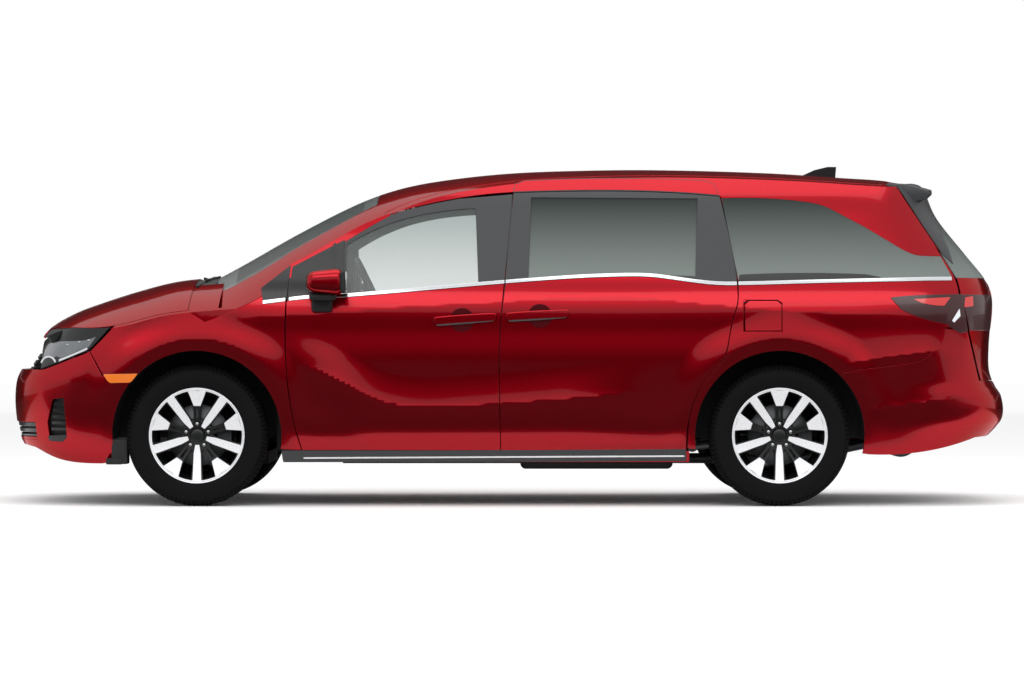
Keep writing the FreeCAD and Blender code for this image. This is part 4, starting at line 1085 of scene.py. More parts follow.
def seen(points: Points, y: float = -985.0) -> Run:
    """Side-view places, in millimetres, of points seen in the photograph at a depth y.

    Args:
        points: Places in the photograph, in pixels.
        y: Depth at which they lie.

    Returns:
        The places.
    """
    scale = PHOTO_SCALE * (CAMERA_BACK + y) / CAMERA_BACK
    return [((px - PHOTO_MIDDLE[0]) * scale + CAMERA_X, CAMERA_HIGH + (PHOTO_MIDDLE[1] - py) * scale)
            for px, py in points]


def turned(profile: Points, centre: Spot, segments: int = 96,
           closed: bool = False) -> bmesh.types.BMesh:
    """Ring turned about an axis across the vehicle.

    Args:
        profile: (radius, distance outwards) points, in millimetres.
        centre: Middle of the ring, on the left side.
        segments: Steps round the axis.
        closed: Whether the profile's ends are joined.

    Returns:
        The ring, in metres.
    """
    ring = bmesh.new()
    points = [ring.verts.new((radius * MM, -out * MM, 0)) for radius, out in profile]
    edges = [ring.edges.new(pair) for pair in zip(points, points[1:])]
    if closed:
        edges.append(ring.edges.new((points[-1], points[0])))
    bmesh.ops.spin(ring, geom=points + edges, cent=(0, 0, 0), axis=(0, 1, 0), angle=2 * math.pi,
                   steps=segments, use_merge=True)
    bmesh.ops.recalc_face_normals(ring, faces=ring.faces)
    bmesh.ops.translate(ring, verts=ring.verts, vec=Vector(centre) * MM)
    return ring


def rounded(low: Spot, high: Spot, radius: float,
            segments: int = 4) -> bmesh.types.BMesh:
    """Box with rounded edges between two corners, in millimetres.

    Args:
        low: Its lowest corner.
        high: Its highest corner.
        radius: Radius of its edges.
        segments: Steps round an edge.

    Returns:
        The box, in metres.
    """
    size = [(b - a) * MM for a, b in zip(low, high)]
    middle = [(a + b) / 2 * MM for a, b in zip(low, high)]
    box = bmesh.new()
    bmesh.ops.create_cube(box, size=1.0)
    bmesh.ops.transform(box, verts=box.verts, matrix=Matrix.Diagonal((*size, 1)))
    bmesh.ops.bevel(box, geom=list(box.edges), offset=radius * MM, segments=segments, profile=0.5,
                    affect="EDGES", material=-1)
    bmesh.ops.translate(box, verts=box.verts, vec=middle)
    return box


def tapered(low: Spot, high: Spot, radius: float) -> bmesh.types.BMesh:
    """Door mirror's shell, lower at its front end.

    Args:
        low: Its lowest corner, in millimetres.
        high: Its highest corner.
        radius: Radius of its edges.

    Returns:
        The shell of the left side, in metres.
    """
    part = rounded(low, high, radius, 6)
    for vertex in part.verts:
        share = (vertex.co.x * 1000 - low[0]) / (high[0] - low[0])
        squeeze = MIRROR_SQUEEZE + (1 - MIRROR_SQUEEZE) * min(max(share, 0), 1)
        vertex.co.z = (MIRROR_HIGH + (vertex.co.z * 1000 - MIRROR_HIGH) * squeeze) * MM
    return part


def moved(part: bmesh.types.BMesh, matrix: Matrix) -> bmesh.types.BMesh:
    """The part after a change of place.

    Args:
        part: The part, which is changed itself.
        matrix: The change of place.

    Returns:
        The same part.
    """
    bmesh.ops.transform(part, verts=part.verts, matrix=matrix)
    if matrix.determinant() < 0:
        bmesh.ops.reverse_faces(part, faces=part.faces)
    return part


def turned_over(part: bmesh.types.BMesh, flip: bool) -> bmesh.types.BMesh:
    """A left part as it is, or mirrored to the right."""
    return moved(part, Matrix.Diagonal((1, -1, 1, 1))) if flip else part


NOSE_MID, TAIL_MID = SIDE.ends()


def end_point(key: str, y: float, z: float) -> tuple[float, float]:
    """Side-view place of a point of the nose or the tail."""
    return float(PLAIN_SIDE.base(np.array([PLAIN_SIDE.end_at(key, y, z)]), np.array([z]))[0, 0]), z


def nose_point(y: float, z: float) -> tuple[float, float]:
    """Side-view place of the nose at a distance from the middle."""
    return end_point("nose", y, z)


def tail_point(y: float, z: float) -> tuple[float, float]:
    """Side-view place of the tail at a distance from the middle."""
    return end_point("tail", y, z)


def nose_bar(high: float, low: float, half: float, **sizes: float) -> Sheet:
    """Level bar across the nose.

    Args:
        high: Height of its upper edge.
        low: Height of its lower edge.
        half: Half of its width.
        sizes: Sizes of the sheet.

    Returns:
        The sheet, doubled over the middle.
    """
    return panel([nose_point(0, high), nose_point(half, high)], [nose_point(half, low), nose_point(0, low)],
                 across=NOSE_MID, **sizes)


def ring_of(x: float, z: float, wide: float, tall: float, count: int) -> Run:
    """Points round an ellipse in side view."""
    return [(x + wide * math.cos(a), z + tall * math.sin(a)) for a in np.linspace(0, 2 * math.pi, count)[:-1]]


def arc_of(x: float, z: float, radius: float, start: float, stop: float) -> Run:
    """Points along an arc in side view, between two angles in radians."""
    return [(x + radius * math.cos(a), z + radius * math.sin(a))
            for a in np.linspace(start, stop, ARC_POINTS)]


@dataclass
class FrontEnd:
    """Hood, front bumper, grille, intakes and headlamps."""

    step: float = 14.0
    mouth_half: float = 756.0
    slats: int = 4
    slat_share: float = 0.26

    def hood(self) -> None:
        """Hood skin up to the fenders, and the dark seal under its front edge."""
        edge = deck_edge(hood_height, -2400, -1655, 30)
        front = [(-2430.0, 0.0), (-2428.0, -300.0), (-2415.0, -560.0), (edge[0][0], edge[0][1])]
        nose = [(-2432.0, 0.0), (-2430.0, -300.0), (-2424.0, -560.0), (-2414.0, -690.0), (-2388.0, -764.0)]
        seal = Sheet(HOOD_PLAN, Outline([nose, back([(x + 110, y) for x, y in nose])]), step=20, lift=-5,
                     depth=52, across=0.0)
        piece("hood_seal", [seal], PLASTIC)
        outline = Outline([front, edge, [(-1655.0, -300.0), (-1655.0, 0.0)]])
        sheet = Sheet(HOOD_PLAN, outline, step=self.step, lift=SKIN_LIFT, across=0.0)
        piece("hood_skin", [sheet], PAINT, Body.HOOD)

    def bumper(self) -> None:
        """Bumper skin with its mouth and side intakes."""
        lower = seen([(25.5, 443), (31.6, 448.4), (44.3, 454.7), (58.4, 459.8), (73.7, 462.4), (89, 463.3),
                      (101, 463.4)], -900)
        lower[0] = nose_point(60, 306)
        outline = Outline([
            [nose_point(0, 702), nose_point(560, 702)],
            shifted(back(LAMP_LOW), 0, -6), [(-2160, 790), (-2093, 672)],
            arch_run(FRONT_AXLE, 37, -18), back(lower), [nose_point(0, 304)]])
        mouth = Outline([[nose_point(0, 432), nose_point(self.mouth_half, 432)],
                         [nose_point(self.mouth_half - 30, 338), nose_point(0, 338)]])
        intake = Outline([seen([(53.3, 398.6), (64.7, 397.3)], -850),
                          seen([(66.7, 421.6), (67.3, 436.9)], -850),
                          seen([(62.8, 442), (48.8, 441.3)], -850), seen([(46.9, 421.6), (52, 401)], -850)])
        skin = Sheet(SIDE, outline, holes=[mouth, intake], step=self.step, lift=SKIN_LIFT, across=NOSE_MID)
        piece("bumper_skin_front", [skin], PAINT)
        dark = [nose_bar(high, low, half, step=20, lift=lift)
                for high, low, half, lift in ((440, 330, 766, -23.4), (846, 706, 565, -49))]
        piece("grille_backing", dark, PLASTIC)
        bars = []
        for low, high, count, half, lift in ((706, 846, self.slats, 565.0, -34),
                                             (338, 432, 3, self.mouth_half - 12, -6)):
            pitch = (high - low) / count
            for k in range(count):
                z = low + pitch * (k + 0.5)
                bars.append(nose_bar(z + self.slat_share * pitch, z - self.slat_share * pitch, half, step=8,
                                     lift=lift, depth=16, roll=4))
        piece("grille_bars", bars, GLOSS_BLACK)
        pockets = panel(seen([(53, 398), (65.2, 396.8)], -850), seen([(67.4, 421.6), (68, 437)], -850),
                        seen([(63, 442.6), (48.2, 442)], -850), seen([(46.2, 421.6), (51.6, 401)], -850),
                        step=10, lift=-22, depth=6)
        piece("side_intake_panels", pockets.both(), PLASTIC)
        ribs = []
        for k in range(5):
            py = 402.5 + 6.4 * k
            rib = panel(seen([(53.5 - 0.9 * k, py), (64.8 + 0.3 * k, py)], -850),
                        seen([(64.9 + 0.3 * k, py + 2.6), (53.2 - 0.9 * k, py + 2.6)], -850), step=6,
                        lift=-8.0, depth=13, roll=1.5)
            ribs += rib.both()
        foot = panel(seen([(47.6, 436), (66.6, 434.6)], -850), seen([(66.8, 437), (62.6, 441.4)], -850),
                     seen([(49.2, 440.8), (47.8, 438.6)], -850), step=6, lift=4, depth=10, roll=2)
        piece("side_intake_ribs", ribs + foot.both(), GLOSS_BLACK)

    def lamps(self) -> None:
        """Headlamps: black housing, grey bowl, projector with its ring, rim and marker dots."""
        whole = Outline([seen([(40.5, 341), (47, 336), (56, 331.2), (84, 328.2), (112.6, 327.6)], -760),
                         seen([(96, 344.3), (89.5, 350), (76, 355.6), (60, 361.6), (39.9, 368.4)], -820)])
        house = Sheet(SIDE, whole, step=9, lift=-2, depth=22)
        piece("headlamp_housings", house.both(), GLOSS_BLACK, Body.SHELL)
        inner = Outline([seen([(44, 345), (60, 341.6), (91, 339.6), (98, 337)], -800),
                         seen([(91, 346.6), (76, 352.6), (62, 357.6)], -820),
                         seen([(58, 356), (42, 364)], -760)])
        bowl = Sheet(SIDE, inner, step=8, lift=0.4, depth=3)
        piece("headlamp_bowls", bowl.both(), LAMP_GREY, Body.SHELL)
        centre = seen([(49.5, 365)], -760)[0]
        ring = panel(arc_of(*centre, 46, 0.35, 2.9), arc_of(*centre, 39, 2.9, 0.35), step=4, lift=3.2,
                     depth=4, roll=1.2)
        piece("projector_rings", ring.both(), CHROME, Body.SHELL)
        eye = panel(arc_of(*centre, 38, 0.3, 2.95), seen([(42.6, 367.6), (57, 362.4)], -780), step=5,
                    lift=2.4, depth=4, roll=2)
        piece("projector_lenses", eye.both(), GLOSS_BLACK, Body.SHELL)
        dots = []
        for px, py, size in ((68, 344.4, 5.5), (80.6, 341.9, 6), (90.4, 340, 6.5)):
            x, z = seen([(px, py)], -820)[0]
            dots += panel(ring_of(x, z, size, 0.62 * size, 14), step=2, lift=3.4, depth=3, roll=1.2).both()
        piece("marker_dots", dots, WHITE_LENS)
        rim = panel(seen([(60, 361.4), (76, 355.2), (89.5, 349.6)], -820),
                    seen([(89.2, 347.8), (76, 353.4), (60, 359.4)], -820), step=5, lift=2.6, depth=3, roll=1)
        piece("headlamp_rims", rim.both(), CHROME, Body.SHELL)
        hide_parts("headlamps")

    def build(self) -> None:
        """Make the front end."""
        self.hood()
        self.bumper()
        self.lamps()
        marker = panel(seen([(103.6, 374.6), (137.5, 373.8)]), seen([(132, 380.5), (129.5, 382.2)]),
                       seen([(110.4, 382.6), (107.6, 380.4)]), step=6, lift=3.4, depth=6, roll=1.5)
        piece("side_markers", marker.both(), AMBER)


@dataclass
class RoofAndGlass:
    """Roof, windscreen, pillars, cowl, wipers, side glass, black covers and the belt strip."""

    pillar_tall: float = 80.0
    pillar_least: float = 12.0
    pillar_reach: float = 350.0
    pillar_tries: int = 71
    wiper_apart: float = 270.0
    wiper_shift: float = 30.0
    wiper_half: float = 240.0
    wiper_lean: float = 0.12
    wiper_sink: float = 5.0

    def roof(self) -> None:
        """Roof skin."""
        edge = deck_edge(roof_height, -686, 2002, 76, 60)
        roof = Sheet(ROOF_PLAN, Outline([[(-686.0, 0.0), (edge[0][0], edge[0][1])], edge,
                                         [(2002.0, -300.0), (2002.0, 0.0)]]), step=22, lift=1.4, across=0.0)
        piece("roof_skin", [roof], PAINT)

    def windscreen(self) -> None:
        """Windscreen with the black band behind its edge."""
        side = deck_edge(roof_height, -1541, -692, 78, 40)
        outline = Outline([[(-1541.0, 0.0), (side[0][0], side[0][1])], side,
                           [(-692.0, -300.0), (-692.0, 0.0)]])
        glass = Sheet(ROOF_PLAN, outline, step=24, lift=0.6, depth=4, across=0.0)
        piece("windscreen_glass", [glass], CLEAR_GLASS)
        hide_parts("windscreen")
        inner = [(x, y + 45) for x, y in deck_edge(roof_height, -1430, -760, 78, 40)]
        band = Sheet(ROOF_PLAN, outline, holes=[Outline([[(-1430.0, 0.0), (inner[0][0], inner[0][1])], inner,
                                                         [(-760.0, -300.0), (-760.0, 0.0)]])], step=24,
                     lift=-5, depth=2, across=0.0)
        piece("windscreen_band", [band], GLOSS_BLACK)

    def pillars(self) -> None:
        """Painted skins of the front pillars, between the windscreen and the door frames."""
        low = deck_edge(roof_height, -1541, -640, 2, 48)
        high = []
        for x, y in low:
            if x > PILLAR_TOP:
                goal = float(along(RAIL_FRONT, np.array([x]))[0]) + self.pillar_tall
            else:
                goal = float(np.interp(x, *zip(*PILLAR_FOOT)))
            across = np.linspace(y, y + self.pillar_reach, self.pillar_tries)
            reached = roof_height(np.full(self.pillar_tries, x), across) >= goal
            high.append((x, float(across[int(np.argmax(reached))] if reached.any() else across[-1])))
        inner = back([(x, max(y, e + self.pillar_least)) for (x, y), (_, e) in zip(high, low)])
        pillar = Sheet(ROOF_PLAN, Outline([low, inner]), step=14, lift=2.4, depth=5)
        piece("pillar_skins", pillar.both(), PAINT)

    def cowl(self) -> None:
        """Dark panel before the windscreen, and its painted corners with a slot for the hood's hinges."""
        panel_line = Outline([[(-1648.0, 0.0), (-1648.0, -480.0)], [(-1541.0, -480.0), (-1541.0, 0.0)]])
        piece("cowl_panel", [Sheet(HOOD_PLAN, panel_line, step=20, lift=-6, depth=6, across=0.0)], PLASTIC)
        edge = deck_edge(hood_height, -1648, -1496, 34, 14)
        corner = Outline([[(-1648.0, -481.0), (-1648.0, -600.0)], [(-1512.0, -600.0), (-1512.0, -620.0)],
                          [(-1648.0, -620.0), (edge[0][0], edge[0][1])], edge, [(-1496.0, -481.0)]])
        piece("cowl_corners", Sheet(HOOD_PLAN, corner, step=13, lift=-3, depth=6).both(), PAINT)

    def wipers(self) -> None:
        """Two wipers on the cowl, which lean back towards their ends."""
        parts = []
        for side in (-1, 1):
            middle = self.wiper_apart * side - self.wiper_shift
            blade = rounded((-1640, middle - self.wiper_half, 0), (-1626, middle + self.wiper_half, 14), 4, 3)
            arm = rounded((-1628, middle - 60, 1), (-1614, middle + 330, 17), 5, 3)
            for part in (blade, arm):
                for vert in part.verts:
                    y = vert.co.y * 1000
                    x = vert.co.x * 1000 + self.wiper_lean * (y - middle + self.wiper_half)
                    seat = float(hood_height(np.array([min(x, COWL_FLAT)]), np.array([y]))[0])
                    vert.co.x = x * MM
                    vert.co.z += (seat - self.wiper_sink) * MM
                parts.append(part)
        piece("front_wipers", parts, PLASTIC)

    def panes(self) -> None:
        """Side glass of the doors and the rear quarters."""
        for side, mirror, body in (("L", False, Body.DOOR_L), ("R", True, Body.DOOR_R)):
            pane = panel(*FRONT_GLASS, step=20, lift=-4, depth=4)
            piece("door_pane_" + side, [pane.build(mirror)], CLEAR_GLASS, body)
            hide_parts("door_glass_" + side)
            sail = panel([(-1112, 1232), (-846, 1372)], [(-850, 1340), (-850, 1094)],
                         [(-1131, 1076), (-1121, 1160)], step=12, lift=3, depth=5)
            bar = panel([(-905, 1350), (-893, 1356)], [(-893, 1086), (-905, 1086)], step=8, lift=4, depth=6)
            piece("door_sail_" + side, [sail.build(mirror), bar.build(mirror)], GLOSS_BLACK, body)
        slider = panel(*SLIDER_GLASS, step=24, lift=-4, depth=4)
        whole = Outline([back(QUARTER_GLASS_TOP), [(1104, 1592)], [(1183, 1170)],
                         part_of(BELT, 1190, 2292, STRIP), [(2236, 1290)]])
        quarter = Sheet(SIDE, whole, step=20, lift=0.2, depth=6)
        piece("rear_side_panes", slider.both() + quarter.both(), PRIVACY_GLASS)
        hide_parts("side_glass")
        shade = panel(part_of(BELT, 1183, 1840, STRIP - 2), [(1925, 1176)],
                      [(1840, 1192), (1700, 1197), (1190, 1190)], step=10, lift=3, depth=5)
        cover = panel([(-1272, 1121), (-1124, 1238)], [(-1131, 1170), (-1144, 1062)], [(-1262, 1050)],
                      step=10, lift=4.5, depth=6)
        piece("quarter_shades", shade.both() + cover.both(), GLOSS_BLACK)

    def strip(self, start: float, stop: float) -> Sheet:
        """Length of the bright strip between two x positions."""
        return panel(part_of(BELT, start, stop, 7.5), back(part_of(BELT, start, stop, -7)), step=7, lift=6,
                     depth=9, roll=3)

    def strips(self) -> None:
        """Bright strip along the belt, split at the shut lines."""
        for side, mirror, body in (("L", False, Body.DOOR_L), ("R", True, Body.DOOR_R)):
            piece("door_strip_" + side, [self.strip(-1128, -24).build(mirror)], CHROME, body)
        parts = []
        for start, stop in ((-1262, -1150), (-14, 1172), (1184, 2286)):
            parts += self.strip(start, stop).both()
        piece("side_strips", parts, CHROME)

    def build(self) -> None:
        """Make the roof, the glass and the strips."""
        self.roof()
        self.windscreen()
        self.pillars()
        self.cowl()
        self.wipers()
        self.panes()
        self.strips()


@dataclass
class RearEnd:
    """Rear bumper, tailgate, spoiler, wiper and lamps; the spoiler's sizes are in metres."""

    step: float = 14.0
    spoiler_half: float = 0.68
    spoiler_sweep: float = 0.64
    spoiler_ahead: float = 0.063
    spoiler_drop: float = 0.018

    def bumper(self) -> None:
        """Bumper skin round the tail."""
        low = seen([(864, 451.4), (893, 450), (904.6, 448), (918, 443.8), (949, 439.4), (970, 435.4)], -900)
        outline = Outline([
            [tail_point(0, 640), tail_point(700, 640)], [(2437, 644), (2372, 896)],
            shifted(BUMPER_REAR_TOP, 0, -1), arch_run(REAR_AXLE, 133, 196), low,
            [tail_point(500, 352), tail_point(0, 352)]])
        skin = Sheet(SIDE, outline, step=self.step, lift=SKIN_LIFT, across=TAIL_MID)
        piece("bumper_skin_rear", [skin], PAINT)

    def gate(self) -> None:
        """Tailgate skin, the window and the fins beside it."""
        side = shifted(GATE_SIDE[3:], GAP)
        skin = panel(part_of(BELT, 2310, 2400, -6)[:1] + [tail_point(640, 1172), tail_point(0, 1172)],
                     [tail_point(0, 650), tail_point(700, 650)], back(side), step=self.step, lift=SKIN_LIFT,
                     across=TAIL_MID)
        piece("tailgate_skin", [skin], PAINT, Body.GATE)
        pane = panel([tail_point(0, 1640), tail_point(560, 1600)], shifted(GATE_SIDE[:3], GAP + 1),
                     [tail_point(640, 1180), tail_point(0, 1180)], step=20, lift=1.2, depth=6,
                     across=TAIL_MID)
        piece("tailgate_pane", [pane], PRIVACY_GLASS, Body.GATE)
        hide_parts("tailgate_glass")
        fin = panel([(2026, 1650), (2080, 1668), (2160, 1660)],
                    [(2175, 1625), (2200, 1560), (2262, 1390), (2300, 1250)],
                    [(2250, 1296), (2150, 1452), (2026, 1650)], step=10, lift=5, depth=8)
        piece("spoiler_fins", fin.both(), SATIN_BLACK, Body.GATE)

    def spoiler(self) -> None:
        """Dark spoiler over the rear window, which curves forwards and down towards its ends."""
        profile = seen([(888, 184.6), (905, 185.4), (916, 187.8), (928.6, 191.4), (929, 195.6), (924, 200.5),
                        (912, 203), (901, 203.5), (892, 199)], 0)
        blade = bmesh.new()
        corners = [blade.verts.new((x * MM, -self.spoiler_half, z * MM)) for x, z in profile]
        face = blade.faces.new(corners)
        made = bmesh.ops.extrude_face_region(blade, geom=[face])["geom"]
        bmesh.ops.translate(blade, verts=[g for g in made if isinstance(g, bmesh.types.BMVert)],
                            vec=(0, 2 * self.spoiler_half, 0))
        bmesh.ops.recalc_face_normals(blade, faces=blade.faces)
        bmesh.ops.bevel(blade, geom=list(blade.edges), offset=0.005, segments=3, profile=0.5, affect="EDGES",
                        material=-1)
        for y in np.linspace(-0.6, 0.6, 13):
            bmesh.ops.bisect_plane(blade, geom=blade.verts[:] + blade.edges[:] + blade.faces[:],
                                   plane_co=(0, y, 0), plane_no=(0, 1, 0))
        for vert in blade.verts:
            share = (vert.co.y / self.spoiler_sweep) ** 2
            vert.co.x -= self.spoiler_ahead * share
            vert.co.z -= self.spoiler_drop * share
        piece("spoiler_blade", [blade], SATIN_BLACK, Body.GATE)

    def wiper(self) -> None:
        """Rear wiper with its boss."""
        arm = turned([(1, -18), (15, -18), (19, -14), (19, 12), (15, 17), (1, 17)], (2471, 0, 1245), 24)
        blade = rounded((2447, -20, 1228), (2469, 330, 1246), 5, 3)
        piece("rear_wiper", [arm, blade], PLASTIC, Body.GATE)

    def lamps(self) -> None:
        """Tail lamps: smoked cover, dim and bright red blocks, a white wedge and the gate's dark part."""
        whole = Outline([seen([(889.8, 298), (905, 296.4), (940, 295), (962.4, 294.4)], -900),
                         seen([(968.4, 330.6), (956, 330.6), (949, 325.6), (934, 321.2), (914, 315.6),
                               (900, 309.4)], -900)])
        cover = Sheet(SIDE, whole, step=8, lift=2.5, depth=26, roll=3)
        piece("tail_lamp_covers", cover.both(), SMOKED_RED)
        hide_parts("tail_lamps")
        dim = panel(seen([(913, 299.4), (950, 297.4)], -900),
                    seen([(943.6, 305.6), (928, 304.4), (919, 302.4)], -900), step=6, lift=3.6, depth=3,
                    roll=1)
        piece("tail_lamp_blocks", dim.both(), BRIGHT_RED)
        wedge = panel(seen([(951, 320.6), (958.6, 309)], -860), seen([(959.4, 316), (953, 322.4)], -860),
                      step=5, lift=4, depth=4, roll=1)
        piece("tail_lamp_wedges", wedge.both(), WHITE_LENS)
        gate = panel([(2338, 1088), tail_point(560, 1088)], [tail_point(560, 908), (2384, 908)], step=9,
                     lift=3, depth=20, roll=3)
        piece("gate_lamp_covers", gate.both(), SMOKED_RED, Body.GATE)
        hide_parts("tailgate_lamps")
        hot = panel(seen([(963, 298), (971, 296.4)], -760), seen([(971.4, 306), (961.8, 307.4)], -760),
                    step=6, lift=4.4, depth=3, roll=1)
        piece("gate_lamp_blocks", hot.both(), BRIGHT_RED, Body.GATE)

    def build(self) -> None:
        """Make the rear end."""
        self.bumper()
        self.gate()
        self.spoiler()
        self.wiper()
        self.lamps()


DISH_RADIUS, DISH_OUT, DISH_RISE, DISH_POWER = 240.0, 64, 30, 1.6


class Dish(Surface):
    """Face of a left wheel: u across, v up from its centre."""

    def __init__(self, x: float, middle: float) -> None:
        """Keep the wheel's place."""
        self.x, self.middle = x, middle

    def rest(self, u: np.ndarray, v: np.ndarray) -> np.ndarray:
        """Points of the dished face.

        Args:
            u: Distances behind the wheel's centre.
            v: Heights over it.

        Returns:
            One point a row.
        """
        u, v = np.asarray(u, float), np.asarray(v, float)
        share = np.clip(np.hypot(u, v) / DISH_RADIUS, 0, 1.05)
        return np.stack([self.x + u, -(self.middle + DISH_OUT + DISH_RISE * share**DISH_POWER), HUB + v], 1)


@dataclass
class Wheel:
    """Machined alloy wheel with black pockets, its brake disc and its tyre."""

    middle: float = 855.0
    sipe_steps: int = 192
    sipe_low: float = 334.0
    sipe_high: float = 361.5
    sipe_out: float = 70.0
    narrow: tuple[float, ...] = (270.0, 342.0, 54.0, 126.0, 198.0)
    wide: tuple[float, ...] = (90.0, 18.0, 162.0, 234.0, 306.0)

    def at(self, points: Points, angle: float) -> Run:
        """Points (along the spoke, across it) turned to an angle in degrees."""
        c, s = math.cos(math.radians(angle)), math.sin(math.radians(angle))
        return [(a * c - b * s, a * s + b * c) for a, b in points]

    def spokes(self, face: Dish, mirror: bool, angles: Iterable[float], runs: Sequence[Points],
               slot: Sequence[Points] = (), **sizes: float) -> list[bmesh.types.BMesh]:
        """Spokes of one shape at several angles.

        Args:
            face: Face of the wheel.
            mirror: Whether it is on the right.
            angles: Their angles, in degrees.
            runs: Runs of a spoke's outline, (along the spoke, across it).
            slot: Runs of the outline of its slot, if it has one.
            sizes: Sizes of the sheets.

        Returns:
            The spokes, in metres.
        """
        made = []
        for angle in angles:
            outline, hole = (Outline([self.at(run, angle) for run in lines]) for lines in (runs, slot))
            made.append(Sheet(face, outline, [hole] if slot else [], **sizes).build(mirror))
        return made

    def tyre(self, centre: Spot) -> bmesh.types.BMesh:
        """Tyre with grooves round the tread and sipes in both shoulders.

        Args:
            centre: Middle of the wheel.

        Returns:
            The tyre, in metres.
        """
        half = [(234, 90), (241, 101), (247, 105), (249, 103), (252, 106), (264, 112), (282, 116.5),
                (300, 117.5), (318, 116), (330, 112.5), (331.5, 113), (336, 111), (348, 103), (357, 91),
                (361, 76), (362, 70), (356, 67), (356, 58), (362.6, 55), (363.6, 24), (357, 21), (357, 12),
                (363.8, 9)]
        profile = half + [(r, -out) for r, out in reversed(half)] + [(230, -84), (226, 0), (230, 84)]
        ring = turned(profile, centre, self.sipe_steps, closed=True)
        middle = Vector(centre) * MM
        chosen = []
        for face in ring.faces:
            place = face.calc_center_median() - middle
            radius = math.hypot(place.x, place.z) * 1000
            step = int((math.atan2(place.z, place.x) / (2 * math.pi) + 1) * self.sipe_steps)
            if (step % 2 == 0 and self.sipe_low < radius < self.sipe_high
                    and abs(place.y) > self.sipe_out * MM):
                chosen.append(face)
        bmesh.ops.inset_region(ring, faces=chosen, thickness=0.0005, depth=-0.005, use_even_offset=True)
        return ring

    def build(self, name: str, x: float, mirror: bool, body: str) -> None:
        """Make one wheel.

        Args:
            name: Name's ending.
            x: Place of its axle.
            mirror: Whether it is on the right.
            body: The body it rides on.
        """
        centre = (x, -self.middle, HUB)
        face = Dish(x, self.middle)
        tyre = piece("tyre_tread_" + name, [turned_over(self.tyre(centre), mirror)], RUBBER, body)
        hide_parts("tyre_" + name)
        lip = turned([(232, 92), (239, 98), (241, 103), (244.5, 105), (247, 103.5), (247, 98), (243, 90)],
                     centre, 128)
        bright = [turned_over(lip, mirror)]
        for angles, runs in (
                (self.narrow, [[(50, -9.5), (94, -17)], [(94, -17), (238, -21.5)], [(238, 21.5), (94, 17)],
                               [(50, 9.5)]]),
                (self.wide, [[(153, -16.5), (237, -49)], [(240, -32)], [(229, -28), (229, 28)], [(240, 32)],
                             [(237, 49), (153, 16.5)]])):
            bright += self.spokes(face, mirror, angles, runs, step=5, lift=0, depth=16, roll=1.2)
        machined = piece("wheel_face_" + name, bright, MACHINED, body)
        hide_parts("wheel_" + name)
        barrel = turned([(247, 100), (243, 96), (237, 91), (234, 84), (226, 70), (222, 40), (206, 10),
                         (206, -40), (224, -78), (240, -96), (246, -100), (246, -104), (236, -100),
                         (200, -40), (200, 6)], centre, 96)
        dark = [turned_over(barrel, mirror)]
        boss = turned([(88, 20), (88, 52), (80, 60), (38, 62), (34, 58), (1, 58)], centre, 96)
        dark.append(turned_over(boss, mirror))
        for angles, runs, slot, step in (
                (self.narrow, [[(40, -22), (110, -21), (239, -31)], [(239, 31), (110, 21), (40, 22)]], [], 7),
                (self.wide, [[(40, -24), (150, -21), (238, -56)], [(238, 56), (150, 21), (40, 24)]],
                 [[(86, -7), (142, -8)], [(142, 8), (86, 7)]], 6)):
            dark += self.spokes(face, mirror, angles, runs, slot, step=step, lift=-3, depth=34, roll=2)
        piece("wheel_pockets_" + name, dark, BLACK_ALLOY, body)
        disc = turned([(80, 6), (84, 8), (84, -18), (92, -22), (158, -22), (161, -25), (161, -44), (158, -47),
                       (70, -47), (70, -70)], centre, 72)
        piece("brake_disc_" + name, [turned_over(disc, mirror)], STEEL, body)
        cap = turned([(34, 56), (34, 66), (31, 70), (24, 71.5), (12, 72.5), (0.6, 72.8)], centre, 48)
        piece("wheel_cap_" + name, [turned_over(cap, mirror)], BLACK_ALLOY, body)
        nuts = []
        for angle in self.wide:
            across, up = self.at([(60, 0)], angle)[0]
            nut = bmesh.new()
            bmesh.ops.create_cone(nut, cap_ends=True, segments=6, radius1=0.0105, radius2=0.0085, depth=0.02)
            bmesh.ops.bevel(nut, geom=list(nut.edges), offset=0.0018, segments=2, profile=0.5, affect="EDGES",
                            material=-1)
            spot = Vector((x + across, -self.middle - 66, HUB + up)) * MM
            nut = moved(nut, Matrix.Translation(spot) @ Matrix.Rotation(math.pi / 2, 4, "X"))
            nuts.append(turned_over(nut, mirror))
        piece("wheel_nuts_" + name, nuts, CHROME, body)


